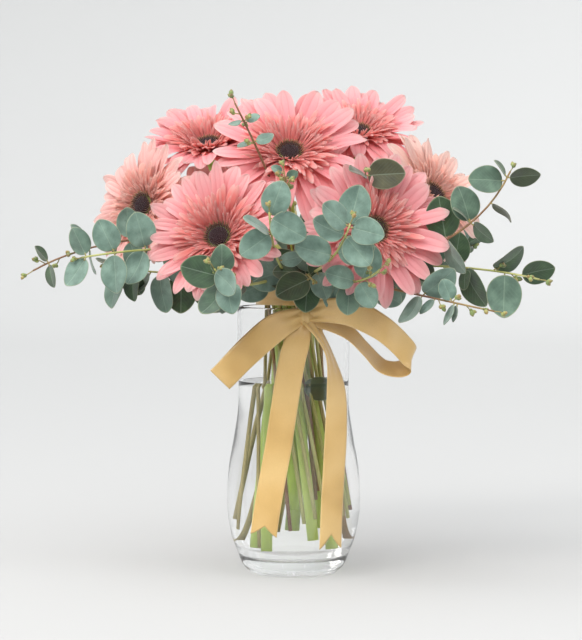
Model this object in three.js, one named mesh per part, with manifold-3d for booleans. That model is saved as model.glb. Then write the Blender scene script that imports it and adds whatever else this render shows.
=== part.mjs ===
// A hand-tied bunch of gerberas and eucalyptus standing in water in a clear glass vase.
// Units are millimetres. The origin is the middle of the vase's flat foot, +Z is up and -Y is the front.
import * as THREE from "three";
import { mergeVertices } from "three/addons/utils/BufferGeometryUtils.js";
import Module from "manifold-3d";

const wasm = await Module();
wasm.setup();

// Vase
const vaseHeight = 200;
const glassWall = 2.6;
const floorHeight = 12.5; // thickness of the solid glass base
const waterLevel = 145;
const vaseSides = 32;
// Outside of the vase as radius and height, from the foot up to just under the lip
const vaseOutside = [
  [33, 0], [38.5, 5.5], [42.4, 15], [47, 28], [50.3, 50],
  [49, 78], [45, 102], [41.6, 128], [42.2, 165], [42.4, 198.6],
];

// Bunch: every stem runs straight up through the tie and then bends to its own place
const tieHeight = 208.5; // middle of the ribbon round the bunch
const tieWidth = 14; // the ribbon is gathered here
const tieRadius = 28;
const bunchTop = 217; // the stems start to bend here
const bunchFoot = 15; // height that the stems' lower ends would reach if none were cut shorter
const bunchTwist = THREE.MathUtils.degToRad(70);
const bunchSpread = 1.7; // how much wider the stems stand at the foot than at the top
const gap = 0.3; // clear space between neighbouring pieces

// Gerbera
const stemRadius = 3;
const calyxRadius = 11.5;
const calyxDepth = 13;
const petalCount = 15;
const floretCount = 12;
const petalRoot = 11; // radius of the circle on which the outer petals part from each other
const floretRoot = 8;
const petalThickness = 0.9;
const floretThickness = 0.8;

// Each gerbera: head centre, direction it faces (degrees right of the front, degrees up), petal length
// from the centre, how far the petals are cupped (degrees), how much the lower ones sag, place in the tie
// (degrees, radius) and height of the cut end.
const gerberas = [
  { name: "front_left", at: [-53, -75, 252], face: [-15, 24], reach: 55, cup: 22, sag: 0, tie: [238, 13], cut: 28 },
  { name: "front_right", at: [57, -74, 257], face: [10, 8], reach: 57, cup: 12, sag: 0.1, tie: [302, 13], cut: 20 },
  { name: "top_front", at: [-3, -20, 313], face: [2, 43], reach: 61, cup: 17, sag: 0.5, tie: [0, 0], cut: 48 },
  { name: "left", at: [-111, -8, 275], face: [-40, 12], reach: 51, cup: 8, sag: 0, tie: [192, 13], cut: 94 },
  { name: "top_left", at: [-65, 30, 320], face: [-12, 60], reach: 51, cup: 26, sag: 0.2, tie: [150, 13], cut: 18 },
  { name: "top_right", at: [49, 38, 330], face: [10, 58], reach: 52, cup: 22, sag: 0.3, tie: [25, 13], cut: 33 },
  { name: "right", at: [104, 2, 282], face: [52, 32], reach: 55, cup: 14, sag: 0.3, tie: [350, 13], cut: 35 },
  { name: "back_left", at: [-50, 82, 268], face: [-155, 24], reach: 54, cup: 16, sag: 0.1, tie: [112, 13], cut: 22 },
  { name: "back_right", at: [62, 84, 264], face: [150, 20], reach: 54, cup: 16, sag: 0.1, tie: [62, 13], cut: 30 },
];

// Eucalyptus: place in the tie (degrees, radius), height of the cut end, how far the stem keeps straight
// above the tie, the bend and the tip of the stem, the way the leaves face, and the leaves. A leaf is its
// place along the bent stem (0 to 1), its heading as the front shows it (0 right, 90 up), its lean to the
// front, its length and its tilt to edge on. A leaf under the tie has its place along the straight stem.
const sprigs = [
  {
    name: "left_long", tie: [200, 21.5], cut: 36, rise: 45, bend: [-128, -66, 262], tip: [-188, -62, 228],
    face: [0, -1, 0.2], buds: 3,
    leaves: [
      [0.67, 95, 0, 22, 20], [0.67, -70, 0, 22, 30], [0.8, 128, 10, 20, 60], [0.8, -78, 10, 18, 80],
      [0.94, 130, 10, 14, 55], [0.94, -77, 15, 17, 55],
    ],
  },
  {
    name: "left_near", tie: [217, 21.5], cut: 41, rise: 32, bend: [-92, -92, 248], tip: [-150, -92, 238],
    face: [0, -1, 0.1], buds: 0,
    leaves: [
      [0.75, 105, 5, 26, 10], [0.75, -116, 5, 26, 30], [0.87, 115, 5, 24, 0], [0.87, -88, 5, 27, 30],
      [0.98, 115, 5, 21, 35], [0.98, -122, 5, 23, 30], [0.61, 80, -10, 24, 0],
      [0.61, -100, -10, 24, 0],
    ],
  },
  {
    name: "left_low", tie: [232, 21.5], cut: 44, rise: 14, bend: [-72, -62, 220], tip: [-131, -60, 231],
    face: [0, -1, 0.3], buds: 0,
    leaves: [
      [0.62, -70, 25, 20, 20], [0.71, -90, 15, 28, 0], [0.76, 70, -20, 22, 0], [0.81, -78, 5, 28, 45],
      [0.84, -120, 0, 17, 60], [0.91, -92, 10, 21, 45], [0.95, -60, -20, 22, 30],
      [0.98, -98, 5, 28, 50], [0.98, 160, 0, 15, 60],
    ],
  },
  {
    name: "front_low_left", tie: [247, 21.5], cut: 52, rise: 12, bend: [-38, -112, 206], tip: [-55, -126, 231],
    face: [0, -1, 0.1], buds: 4, under: [0.53, 5, 0, 24, 30],
    leaves: [
      [0.33, 172, 10, 26, 0], [0.33, 204, 20, 26, 0], [0.56, 100, 10, 22, 0], [0.63, -137, 15, 30, 62],
      [0.75, -112, 15, 22, 45], [0.82, -128, 10, 28, 35], [0.85, -80, 25, 23, 10],
      [0.9, 165, 5, 28, 0], [0.91, 88, 15, 21, 15], [0.98, -45, 25, 22, 30],
    ],
  },
  {
    name: "front_centre", tie: [262, 21.5], cut: 46, rise: 14, bend: [-14, -108, 226], tip: [-17, -122, 270],
    face: [0, -1, 0.05], buds: 0,
    leaves: [
      [0.33, 195, 25, 28, 0], [0.33, 160, 10, 26, 0], [0.0, 60, 0, 27, 0], [0.03, 160, 0, 26, 0],
      [0.58, 10, 0, 17, 40], [0.87, -145, 10, 25, 0], [0.87, 150, 20, 22, 65], [0.97, 70, 0, 25, 0],
      [0.97, -30, -5, 27, 0],
    ],
  },
  {
    name: "front_collar", tie: [277, 21.5], cut: 44, rise: 10, bend: [8, -48, 228], tip: [13, -66, 222],
    face: [0, -1, 0.3], buds: 0,
    leaves: [
      [0.55, 192, 20, 26, 0], [0.55, 150, 0, 26, 0], [0.55, 25, 0, 26, 0], [0.55, -14, 10, 25, 0],
      [0.96, 206, 5, 26, 0], [0.85, -95, 10, 25, 0], [0.85, 40, 10, 20, 20], [0.85, 170, 0, 24, 20],
    ],
  },
  {
    name: "front_right", tie: [290, 21.5], cut: 42, rise: 12, bend: [26, -108, 222], tip: [39, -126, 262],
    face: [0, -1, 0.1], buds: 0,
    leaves: [
      [0.43, 120, 0, 22, 0], [0.47, -70, 0, 20, 0], [0.74, 165, 10, 27, 15], [0.77, 10, 0, 26, 0],
      [0.92, 155, 10, 24, 25], [0.92, -50, 10, 25, 0], [0.98, 75, -10, 28, 0], [0.98, 140, 20, 24, 25],
      [0.98, -15, 20, 24, 0],
    ],
  },
  {
    name: "front_low_right", tie: [305, 21.5], cut: 50, rise: 10, bend: [40, -98, 210], tip: [60, -112, 230],
    face: [0, -1, 0.1], buds: 4,
    leaves: [
      [0.33, -10, 15, 26, 0], [0.33, 22, 0, 26, 0], [0.48, -75, 0, 22, 10], [0.69, -95, 10, 22, 0],
      [0.76, 165, 10, 22, 20], [0.78, -60, 10, 20, 10], [0.81, 70, 0, 24, 0], [0.64, -30, -15, 26, 0],
    ],
  },
  {
    name: "right_low", tie: [322, 21.5], cut: 46, rise: 12, bend: [74, -92, 214], tip: [142, -92, 200],
    face: [0, -1, 0.1], buds: 4,
    leaves: [
      [0.53, -35, 5, 22, 20], [0.63, 60, 0, 22, 10], [0.74, 40, 10, 28, 35], [0.74, -125, 10, 24, 60],
      [0.79, -135, 10, 14, 60], [0.85, 112, 0, 16, 10], [0.86, -115, 10, 16, 72],
      [0.87, -100, 0, 12, 70],
    ],
  },
  {
    name: "right_high", tie: [340, 21.5], cut: 27, rise: 16, bend: [118, -92, 222], tip: [154, -80, 299],
    face: [-0.1, -1, 0.1], buds: 0,
    leaves: [
      [0.58, 70, -10, 24, 0], [0.58, -60, -10, 22, 30], [0.7, 100, 5, 30, 0], [0.69, -55, 20, 27, 62],
      [0.8, 108, -5, 26, 15], [0.8, 140, 20, 16, 75], [0.8, -40, 20, 20, 55], [0.89, -35, 20, 19, 78],
      [0.97, 178, 5, 25, 10], [0.98, 125, 10, 14, 70], [0.98, 5, 5, 22, 50],
    ],
  },
  {
    name: "right_mid", tie: [357, 21.5], cut: 39, rise: 14, bend: [112, -50, 238], tip: [176, -74, 222],
    face: [0, -1, 0.1], buds: 3,
    leaves: [
      [0.63, 75, -15, 24, 20], [0.74, -60, 10, 31, 55], [0.75, -95, 15, 15, 50], [0.71, 80, 0, 24, 20],
      [0.84, 35, 5, 26, 55], [0.88, -92, 5, 31, 0], [0.93, 12, 5, 24, 35],
    ],
  },
  {
    name: "top", tie: [270, 12.5], cut: 62, rise: 55, bend: [-16, -46, 296], tip: [-42, -66, 348],
    face: [0, -0.6, 0.8], buds: 4,
    leaves: [
      [0.81, 195, 10, 11, 10], [0.81, 15, 10, 14, 10], [0.92, 200, 10, 10, 10], [0.92, 15, 10, 11, 10],
    ],
  },
  {
    name: "middle_buds", tie: [285, 9], cut: 55, rise: 50, bend: [-2, -78, 266], tip: [-7, -88, 299],
    face: [0, -1, 0.3], buds: 4,
    leaves: [
      [0.94, 30, 10, 9, 20], [0.98, 150, 10, 9, 20],
    ],
  },
  {
    name: "right_gap", tie: [325, 12.5], cut: 52, rise: 45, bend: [50, -44, 284], tip: [51, -80, 297],
    face: [0, -1, 0.3], buds: 0,
    leaves: [
      [0.98, 3, 10, 27, 10], [0.98, 175, 20, 18, 40],
    ],
  },
  {
    name: "back_right", tie: [35, 21.5], cut: 31, rise: 28, bend: [104, 54, 240], tip: [136, 72, 244],
    face: [0.3, 0.5, 0.8], buds: 0,
    leaves: [
      [0.5, 70, -15, 26, 0], [0.5, -50, -15, 26, 10], [0.64, 50, 20, 25, 15], [0.64, -20, -45, 26, 0],
      [0.78, 75, -10, 26, 0], [0.78, -45, -10, 24, 0], [0.9, 60, 20, 22, 20], [0.9, -10, -50, 22, 0],
      [0.98, 35, 0, 20, 0],
    ],
  },
  {
    name: "back_low_right", tie: [62, 21.5], cut: 26, rise: 12, bend: [70, 100, 226], tip: [96, 128, 214],
    face: [0.3, 1, 0.4], buds: 0,
    leaves: [
      [0.5, 60, -20, 26, 0], [0.5, -60, -40, 24, 0], [0.66, 20, -10, 26, 20], [0.66, 150, -60, 25, 0],
      [0.82, 70, -40, 25, 0], [0.82, -80, -20, 24, 10], [0.98, 0, -45, 22, 0], [0.98, 80, -20, 20, 0],
    ],
  },
  {
    name: "back_middle", tie: [90, 21.5], cut: 40, rise: 26, bend: [8, 120, 232], tip: [2, 140, 272],
    face: [0, 1, 0.3], buds: 4,
    leaves: [
      [0.5, 25, -40, 26, 0], [0.5, 155, -40, 25, 0], [0.66, -20, -30, 26, 10], [0.66, 200, -30, 26, 0],
      [0.8, 30, -20, 26, 0], [0.8, 150, -20, 25, 0], [0.94, 0, -10, 24, 0], [0.94, 180, -10, 23, 20],
    ],
  },
  {
    name: "back_low_left", tie: [118, 21.5], cut: 34, rise: 12, bend: [-62, 104, 226], tip: [-84, 130, 212],
    face: [-0.3, 1, 0.4], buds: 3,
    leaves: [
      [0.5, 120, -20, 26, 0], [0.5, -120, -40, 24, 0], [0.66, 160, -10, 26, 20],
      [0.66, 30, -60, 25, 0], [0.82, 110, -40, 25, 0], [0.82, -100, -20, 24, 10],
      [0.98, 180, -45, 22, 0], [0.98, 100, -20, 20, 0],
    ],
  },
  {
    name: "back_left", tie: [160, 21.5], cut: 23, rise: 28, bend: [-104, 56, 240], tip: [-138, 70, 242],
    face: [-0.3, 0.5, 0.8], buds: 0,
    leaves: [
      [0.5, 110, -15, 26, 0], [0.5, -130, -15, 26, 10], [0.64, 130, 20, 25, 15],
      [0.64, 200, -45, 26, 0], [0.78, 105, -10, 26, 0], [0.78, -135, -10, 24, 0],
      [0.9, 120, 20, 22, 20], [0.9, 190, -50, 22, 0], [0.98, 145, 0, 20, 0],
    ],
  },
];
const leafShape = [[0.3, 0.9], [0.72, 0.88]]; // place along the leaf and share of its width, but for its ends
const leafWidth = 0.84; // of its length
const leafThickness = 1.1;
const sprigRadius = 1.3;
const budRadius = 2.2;

// Ribbon
const ribbonWidth = 19.5;
const ribbonThickness = 1;

const point = (list) => new THREE.Vector3(...list);
const up = new THREE.Vector3(0, 0, 1);

// Closed solid from a geometry: its corners are shared so that the faces join up.
function solidOf(geometry) {
  geometry.deleteAttribute("normal");
  geometry.deleteAttribute("uv");
  const merged = mergeVertices(geometry, 1e-4);
  const mesh = new wasm.Mesh({
    numProp: 3,
    vertProperties: merged.attributes.position.array,
    triVerts: new Uint32Array(merged.index.array),
  });
  return new wasm.Manifold(mesh);
}

function geometryOf(solid) {
  const mesh = solid.getMesh();
  const geometry = new THREE.BufferGeometry();
  geometry.setAttribute("position", new THREE.BufferAttribute(mesh.vertProperties, 3));
  geometry.setIndex(new THREE.BufferAttribute(mesh.triVerts, 1));
  geometry.computeVertexNormals();
  return geometry;
}

function joined(solids) {
  return solids.reduce((whole, solid) => whole.add(solid));
}

// A cut can leave loose tips behind, and only the main body stays.
function mainBody(solid) {
  return solid.decompose().reduce((best, body) => (body.volume() > best.volume() ? body : best));
}

// Skin over a row of sections with the same number of corners each, closed with a fan at both ends.
function loft(sections) {
  const corners = sections[0].length;
  const positions = sections.flat().flatMap((corner) => corner.toArray());
  const faces = [];
  for (let row = 0; row < sections.length - 1; row++) {
    for (let i = 0; i < corners; i++) {
      const here = row * corners + i;
      const next = row * corners + ((i + 1) % corners);
      faces.push(here, next, next + corners, here, next + corners, here + corners);
    }
  }
  const last = (sections.length - 1) * corners;
  for (let i = 1; i < corners - 1; i++) {
    faces.push(0, i + 1, i, last, last + i, last + i + 1);
  }
  const geometry = new THREE.BufferGeometry();
  geometry.setAttribute("position", new THREE.Float32BufferAttribute(positions, 3));
  geometry.setIndex(faces);
  return geometry;
}

// Round bar along a stem's curve.
function stemBar(curve, radius, sides) {
  const section = new THREE.Shape();
  for (let i = 0; i < sides; i++) {
    const turn = (2 * Math.PI * i) / sides;
    section[i ? "lineTo" : "moveTo"](radius * Math.cos(turn), radius * Math.sin(turn));
  }
  return solidOf(new THREE.ExtrudeGeometry(section, { steps: curve.steps, extrudePath: curve, bevelEnabled: false }));
}

function lathe(profile, sides) {
  return solidOf(new THREE.LatheGeometry(profile.map(([r, z]) => new THREE.Vector2(r, z)), sides).rotateX(Math.PI / 2));
}

// Where a stem starts to bend and where its straight lower part comes from.
function stemLine(tie, cut) {
  const turn = THREE.MathUtils.degToRad(tie[0]);
  const top = new THREE.Vector3(tie[1] * Math.cos(turn), tie[1] * Math.sin(turn), bunchTop);
  const foot = new THREE.Vector3(
    bunchSpread * tie[1] * Math.cos(turn + bunchTwist),
    bunchSpread * tie[1] * Math.sin(turn + bunchTwist),
    bunchFoot,
  );
  const end = foot.clone().lerp(top, (cut - bunchFoot) / (bunchTop - bunchFoot));
  return { top, end, direction: top.clone().sub(foot).normalize() };
}

function upperCurve(line, rise, bend, far) {
  const leaving = line.top.clone().addScaledVector(line.direction, rise);
  return new THREE.CubicBezierCurve3(line.top, leaving, bend, far);
}

// Straight from the cut end up through the tie in the first of its steps, then one bend in all the others.
class StemCurve extends THREE.Curve {
  constructor(line, upper, steps) {
    super();
    this.lower = new THREE.LineCurve3(line.end, line.top);
    this.upper = upper;
    this.steps = steps;
  }

  getPoint(t) {
    const here = t * this.steps;
    return here <= 1 ? this.lower.getPoint(here) : this.upper.getPoint((here - 1) / (this.steps - 1));
  }

  getUtoTmapping(u) {
    return u;
  }
}

// Direction a flower faces, from degrees right of the front and degrees up.
function facing([right, lift]) {
  const turn = THREE.MathUtils.degToRad(right);
  const rise = THREE.MathUtils.degToRad(lift);
  return new THREE.Vector3(Math.sin(turn) * Math.cos(rise), -Math.cos(turn) * Math.cos(rise), Math.sin(rise));
}

// Frame of a flower head: its own X lies level, its own Y points up the head and its own Z is where it faces.
function headFrame(gerbera) {
  const axis = facing(gerbera.face);
  const level = new THREE.Vector3().crossVectors(up, axis).normalize();
  const rising = new THREE.Vector3().crossVectors(axis, level);
  return new THREE.Matrix4().makeBasis(level, rising, axis).setPosition(...gerbera.at);
}

// Ring of blades cut from one sheet: blade holds the radius and half width of a blade's corners, from its
// root to its tip. The sheet is then bent so that heightAt gives the height of its lower side.
function bladeRing({ count, phase, valley, blade, heightAt, thickness, frame, grow }) {
  const corners = [];
  for (let i = 0; i < count; i++) {
    const turn = (2 * Math.PI * (i + phase)) / count;
    const along = new THREE.Vector2(Math.cos(turn), Math.sin(turn));
    const across = new THREE.Vector2(-along.y, along.x);
    const corner = (radius, half) =>
      along.clone().multiplyScalar(radius).addScaledVector(across, half + Math.sign(half) * grow);
    const halfStep = Math.PI / count;
    corners.push(along.clone().rotateAround(new THREE.Vector2(), -halfStep).multiplyScalar(valley + grow));
    corners.push(...blade.map(([radius, half]) => corner(radius, -half)));
    corners.push(...blade.filter(([, half]) => half).reverse().map(([radius, half]) => corner(radius, half)));
  }
  const depth = thickness + 2 * grow;
  const geometry = new THREE.ExtrudeGeometry(new THREE.Shape(corners), { depth, bevelEnabled: false });
  const position = geometry.attributes.position;
  for (let i = 0; i < position.count; i++) {
    const [x, y, z] = [position.getX(i), position.getY(i), position.getZ(i)];
    position.setZ(i, z - grow + heightAt(Math.hypot(x, y), Math.atan2(y, x)));
  }
  return solidOf(geometry.applyMatrix4(frame));
}

function outerPetals(gerbera, grow) {
  const { reach, cup, sag } = gerbera;
  const slope = Math.tan(THREE.MathUtils.degToRad(cup));
  const heightAt = (radius, turn) => {
    const share = Math.max(0, radius - petalRoot) / (reach - petalRoot);
    const drop = sag * reach * share ** 2 * Math.max(0, -Math.sin(turn));
    return (reach - petalRoot) * share * slope * (1 - 0.25 * share) - drop;
  };
  return bladeRing({
    count: petalCount, phase: 0.25, valley: petalRoot, thickness: petalThickness, heightAt, grow,
    blade: [[0.5 * reach, 4.6], [0.86 * reach, 5], [reach, 0]], frame: headFrame(gerbera),
  });
}

function innerFlorets(gerbera, grow) {
  const slope = Math.tan(THREE.MathUtils.degToRad(gerbera.cup + 22));
  return bladeRing({
    count: floretCount, phase: 0.5, valley: floretRoot, thickness: floretThickness, grow,
    heightAt: (radius) => petalThickness + 2 * gap + Math.max(0, radius - floretRoot) * slope,
    blade: [[0.34 * gerbera.reach, 2.7], [0.5 * gerbera.reach, 0]], frame: headFrame(gerbera),
  });
}

function disc(gerbera, grow) {
  const base = petalThickness + floretThickness + 4 * gap;
  const profile = [
    [0, base - grow], [7 + grow, base - grow], [7.6 + grow, base + 1.5],
    [5.5 + grow, base + 2.8 + grow], [0, base + 3.2 + grow],
  ];
  return lathe(profile, 12).transform(headFrame(gerbera).elements);
}

// Stem with the green calyx that holds the petals.
function gerberaStem(gerbera, grow) {
  const line = stemLine(gerbera.tie, gerbera.cut - grow);
  const axis = facing(gerbera.face);
  const back = point(gerbera.at).addScaledVector(axis, -calyxDepth);
  const bend = back.clone().addScaledVector(axis, -24);
  const upper = upperCurve(line, 34, bend, back.clone().addScaledVector(axis, 2));
  const profile = [
    [0, -calyxDepth - grow], [stemRadius + 0.8 + grow, -calyxDepth - grow], [8.5 + grow, -8],
    [calyxRadius + grow, -2 * gap + grow], [0, -2 * gap + grow],
  ];
  const calyx = lathe(profile, 11).transform(headFrame(gerbera).elements);
  return joined([stemBar(new StemCurve(line, upper, 9), stemRadius + grow, 6), calyx]);
}

// Flat leaf with a thicker middle, from its stalk to its tip.
function leaf(root, direction, faceTo, length, tilt, grow) {
  const normal = faceTo.clone().addScaledVector(direction, -faceTo.dot(direction)).normalize();
  normal.applyAxisAngle(direction, THREE.MathUtils.degToRad(tilt));
  const across = new THREE.Vector3().crossVectors(normal, direction);
  const half = (length * leafWidth) / 2;
  const edge = (side) => ([share, width]) =>
    root.clone().addScaledVector(direction, share * length).addScaledVector(across, side * (width * half + 2 * grow));
  const tip = root.clone().addScaledVector(direction, length + 3 * grow);
  const base = root.clone().addScaledVector(direction, -3 * grow);
  const rim = [base, ...leafShape.map(edge(1)), tip, ...leafShape.map(edge(-1)).reverse()];
  const middle = root.clone().addScaledVector(direction, 0.5 * length);
  const top = middle.clone().addScaledVector(normal, leafThickness / 2 + 2 * grow);
  const bottom = middle.clone().addScaledVector(normal, -leafThickness / 2 - 2 * grow);
  const positions = [...rim, top, bottom].flatMap((corner) => corner.toArray());
  const faces = [];
  for (let i = 0; i < rim.length; i++) {
    const next = (i + 1) % rim.length;
    faces.push(next, i, rim.length, i, next, rim.length + 1);
  }
  const geometry = new THREE.BufferGeometry();
  geometry.setAttribute("position", new THREE.Float32BufferAttribute(positions, 3));
  geometry.setIndex(faces);
  return solidOf(geometry);
}

function leafOn(curve, [place, heading, lean, length, tilt], faceTo, grow) {
  const around = THREE.MathUtils.degToRad(heading);
  const ahead = THREE.MathUtils.degToRad(lean);
  const direction = new THREE.Vector3(Math.cos(around), -Math.tan(ahead), Math.sin(around)).normalize();
  const root = curve.getPoint(place).addScaledVector(direction, sprigRadius / 2);
  return leaf(root, direction, faceTo, length, tilt, grow);
}

// Buds stand by turns left and right of the last stretch of the stem.
function budCluster(curve, count, grow) {
  const buds = [];
  for (let i = 0; i < count; i++) {
    const place = 1 - 0.03 * i;
    const tangent = curve.getTangent(place);
    const aside = new THREE.Vector3().crossVectors(tangent, new THREE.Vector3(0, -1, 0)).normalize();
    const middle = curve.getPoint(place).addScaledVector(aside, (i % 2 ? -1 : 1) * sprigRadius);
    buds.push(solidOf(new THREE.OctahedronGeometry(budRadius + grow).translate(...middle)));
  }
  return buds;
}

function sprig(shape, grow) {
  const line = stemLine(shape.tie, shape.cut - grow);
  const bend = point(shape.bend);
  const tip = point(shape.tip);
  const faceTo = point(shape.face).normalize();
  const curve = new StemCurve(line, upperCurve(line, shape.rise, bend, tip), 12);
  const leaves = shape.leaves.map((one) => leafOn(curve.upper, one, faceTo, grow));
  if (shape.under) {
    const { end, top } = stemLine(shape.tie, shape.cut);
    leaves.push(leafOn(new THREE.LineCurve3(end, top), shape.under, faceTo, grow));
  }
  const buds = budCluster(curve.upper, shape.buds, grow);
  return joined([stemBar(curve, sprigRadius + grow, 5), ...leaves, ...buds]);
}

// Glass: outside, rounded lip, inside and the flat floor of the solid base.
function vase() {
  const outside = vaseOutside.map(([r, z]) => new THREE.Vector2(r, z));
  const inside = outside
    .filter(({ y }) => y > floorHeight + 8)
    .map(({ x, y }) => new THREE.Vector2(x - glassWall, y))
    .reverse();
  const lip = [new THREE.Vector2(42, vaseHeight), new THREE.Vector2(40.2, vaseHeight)];
  const floor = [new THREE.Vector2(39.5, floorHeight + 4.5), new THREE.Vector2(34, floorHeight)];
  const outline = [new THREE.Vector2(0, 0), ...outside, ...lip, ...inside, ...floor, new THREE.Vector2(0, floorHeight)];
  return solidOf(new THREE.LatheGeometry(outline, vaseSides).rotateX(Math.PI / 2));
}

// Water up to its level, a little clear of the glass.
function water() {
  const side = vaseOutside
    .filter(([, z]) => z > floorHeight + 8 && z < waterLevel)
    .map(([r, z]) => [r - glassWall - gap, z]);
  const low = [[0, floorHeight + gap], [33.8, floorHeight + gap], [39.1, floorHeight + 4.7]];
  return lathe([...low, ...side, [39, waterLevel], [0, waterLevel]], vaseSides);
}

// Strip of ribbon through hand-set places, each with the direction across the ribbon and a share of its width.
function strip(places, steps, grow) {
  const path = new THREE.CatmullRomCurve3(places.map(([at]) => point(at)));
  const sections = [];
  for (let i = 0; i <= steps; i++) {
    const here = (i / steps) * (places.length - 1);
    const index = Math.min(Math.floor(here), places.length - 2);
    const blend = here - index;
    const across = point(places[index][1]).lerp(point(places[index + 1][1]), blend).normalize();
    const share = THREE.MathUtils.lerp(places[index][2], places[index + 1][2], blend);
    const middle = path.getPoint(i / steps);
    const normal = new THREE.Vector3().crossVectors(path.getTangent(i / steps), across).normalize();
    const half = (ribbonWidth * share) / 2 + grow;
    const thick = ribbonThickness / 2 + grow;
    const corner = (side, face) =>
      middle.clone().addScaledVector(across, side * half).addScaledVector(normal, face * thick);
    sections.push([corner(-1, -1), corner(1, -1), corner(1, 1), corner(-1, 1)]);
  }
  return solidOf(loft(sections));
}

// Swallowtail cut in the end of a tail.
function notch(at, across) {
  const cut = new THREE.Shape([[0, 8.5], [ribbonWidth * 0.45, -4], [-ribbonWidth * 0.45, -4]].map(([x, y]) =>
    new THREE.Vector2(x, y)));
  const geometry = new THREE.ExtrudeGeometry(cut, { depth: 8, bevelEnabled: false }).translate(0, 0, -4);
  const side = point(across).normalize();
  const frame = new THREE.Matrix4().makeBasis(side, up, new THREE.Vector3().crossVectors(side, up));
  return solidOf(geometry.applyMatrix4(frame.setPosition(...at)));
}

const knotAt = [8.5, -49.5, 194];
const leftTail = [
  [[7, -50, 193], [1, 0, 0.1], 0.6],
  [[3, -54, 178], [1, 0, 0.15], 0.95],
  [[-2, -53, 158], [1, 0, 0.2], 1],
  [[-6.5, -51.8, 130], [1, 0, 0.2], 1],
  [[-11, -51, 100], [1, 0, 0.2], 1],
  [[-15.5, -51.2, 75], [1, -0.08, 0.2], 1],
  [[-19.5, -52, 52], [1, -0.12, 0.2], 1],
  [[-22, -52, 34], [1, -0.12, 0.2], 1],
];
const rightTail = [
  [[10, -50, 193], [0.6, 0.5, 0.4], 0.6],
  [[18, -53, 182], [0.3, 0.9, 0.3], 0.8],
  [[26, -50, 166], [0.3, 0.95, 0.1], 0.9],
  [[31, -47, 140], [0.7, 0.7, 0], 1],
  [[31, -45.5, 110], [0.84, 0.55, 0], 1],
  [[29.5, -44.5, 80], [0.84, 0.55, 0], 1],
  [[28, -44.3, 52], [0.84, 0.55, 0], 1],
  [[27, -44, 23], [0.84, 0.55, 0], 1],
];
const leftLoop = [
  [[7, -51, 195], [0.2, 0, -1], 0.6],
  [[-12, -58, 187], [0.5, 0, -0.85], 1],
  [[-34, -60, 168], [0.66, 0, -0.75], 1],
  [[-51, -57.5, 151], [0.72, 0, -0.69], 1],
  [[-53, -54.5, 149.5], [0.72, 0, -0.69], 1],
  [[-50, -51.5, 152], [0.72, 0, -0.69], 1],
  [[-32, -48.5, 171], [0.6, 0, -0.8], 1],
  [[-13, -48.5, 188], [0.4, 0, -0.9], 0.9],
  [[7, -48, 195], [0.2, 0, -1], 0.6],
];
const rightLoop = [
  [[10, -51, 196], [0, 0, 1], 0.6],
  [[25, -57, 199], [0.1, 0, 1], 0.9],
  [[43, -61, 197], [0.2, 0, 1], 1],
  [[63, -61, 187], [0.42, 0.35, 0.85], 1],
  [[78, -58, 174], [0.45, 0.45, 0.75], 1],
  [[85.5, -52, 163], [0.2, 0.3, 0.95], 1],
  [[78, -46, 156], [0.2, 0.75, 0.6], 1],
  [[65, -46, 158], [0.35, 0.85, 0.35], 1],
  [[53, -47, 170], [0.3, 0.9, 0.3], 1],
  [[41, -47, 182], [0.2, 0.85, 0.45], 1],
  [[26, -47, 190], [0, 0.7, 0.7], 0.9],
  [[10, -48, 195], [0, 0.3, 1], 0.6],
];
const strand = [
  [[3, -28.5, 209], [1, 0, 0], 0.7],
  [[4.5, -37, 206.5], [1, 0, 0], 0.6],
  [[6.5, -45.5, 203], [1, 0, 0], 0.55],
  [[8, -49.5, 196], [1, 0, 0], 0.5],
];

// One ribbon: a band round the bunch, a strand over the lip, the knot, two loops and two tails.
function ribbon(grow) {
  const low = tieHeight - tieWidth / 2 - grow;
  const high = tieHeight + tieWidth / 2 + grow;
  const inner = tieRadius - grow;
  const outer = tieRadius + ribbonThickness + grow;
  const band = lathe([[inner, low], [outer, low], [outer, high], [inner, high], [inner, low]], 24);
  const knot = solidOf(new THREE.IcosahedronGeometry(1, 1).scale(7 + grow, 4.5 + grow, 6.5 + grow).translate(...knotAt));
  const leftEnd = leftTail.at(-1);
  const rightEnd = rightTail.at(-1);
  const tails = [strip(leftTail, 11, grow), strip(rightTail, 12, grow)];
  const cut = [
    tails[0].subtract(notch(leftEnd[0], leftEnd[1])),
    tails[1].subtract(notch(rightEnd[0], rightEnd[1])),
  ];
  return joined([
    band, knot, strip(strand, 5, grow), strip(leftLoop, 16, grow), strip(rightLoop, 20, grow), ...cut,
  ]);
}

const paint = (color, roughness, more = {}) =>
  new THREE.MeshStandardMaterial({ color, roughness, metalness: 0, ...more });
const materials = {
  glass: paint(0xeaf2ee, 0.03, { transparent: true, opacity: 0.35 }),
  water: paint(0xdfeee8, 0.02, { transparent: true, opacity: 0.3 }),
  satin: paint(0xc8aa6e, 0.38),
  stem: paint(0x84a04e, 0.5),
  petal: paint(0xf5abb1, 0.6),
  floret: paint(0xee8b88, 0.6),
  disc: paint(0x34151c, 0.85),
  leaf: paint(0x6d8f80, 0.65),
};

const bouquet = new THREE.Group();
const standing = [];

// Adds a piece to the bouquet. Where it would run into a piece that already stands there, it is cut clear of it.
function place(name, material, build, parent = bouquet) {
  let solid = build(0);
  for (const other of standing) {
    const touching = solid.intersect(other);
    if (!touching.isEmpty()) {
      solid = mainBody(solid.subtract(other));
    }
  }
  standing.push(build(gap));
  parent.updateMatrixWorld();
  const inverse = parent.matrixWorld.clone().invert();
  const mesh = new THREE.Mesh(geometryOf(solid.transform(inverse.elements)), material);
  mesh.name = name;
  parent.add(mesh);
}

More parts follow.
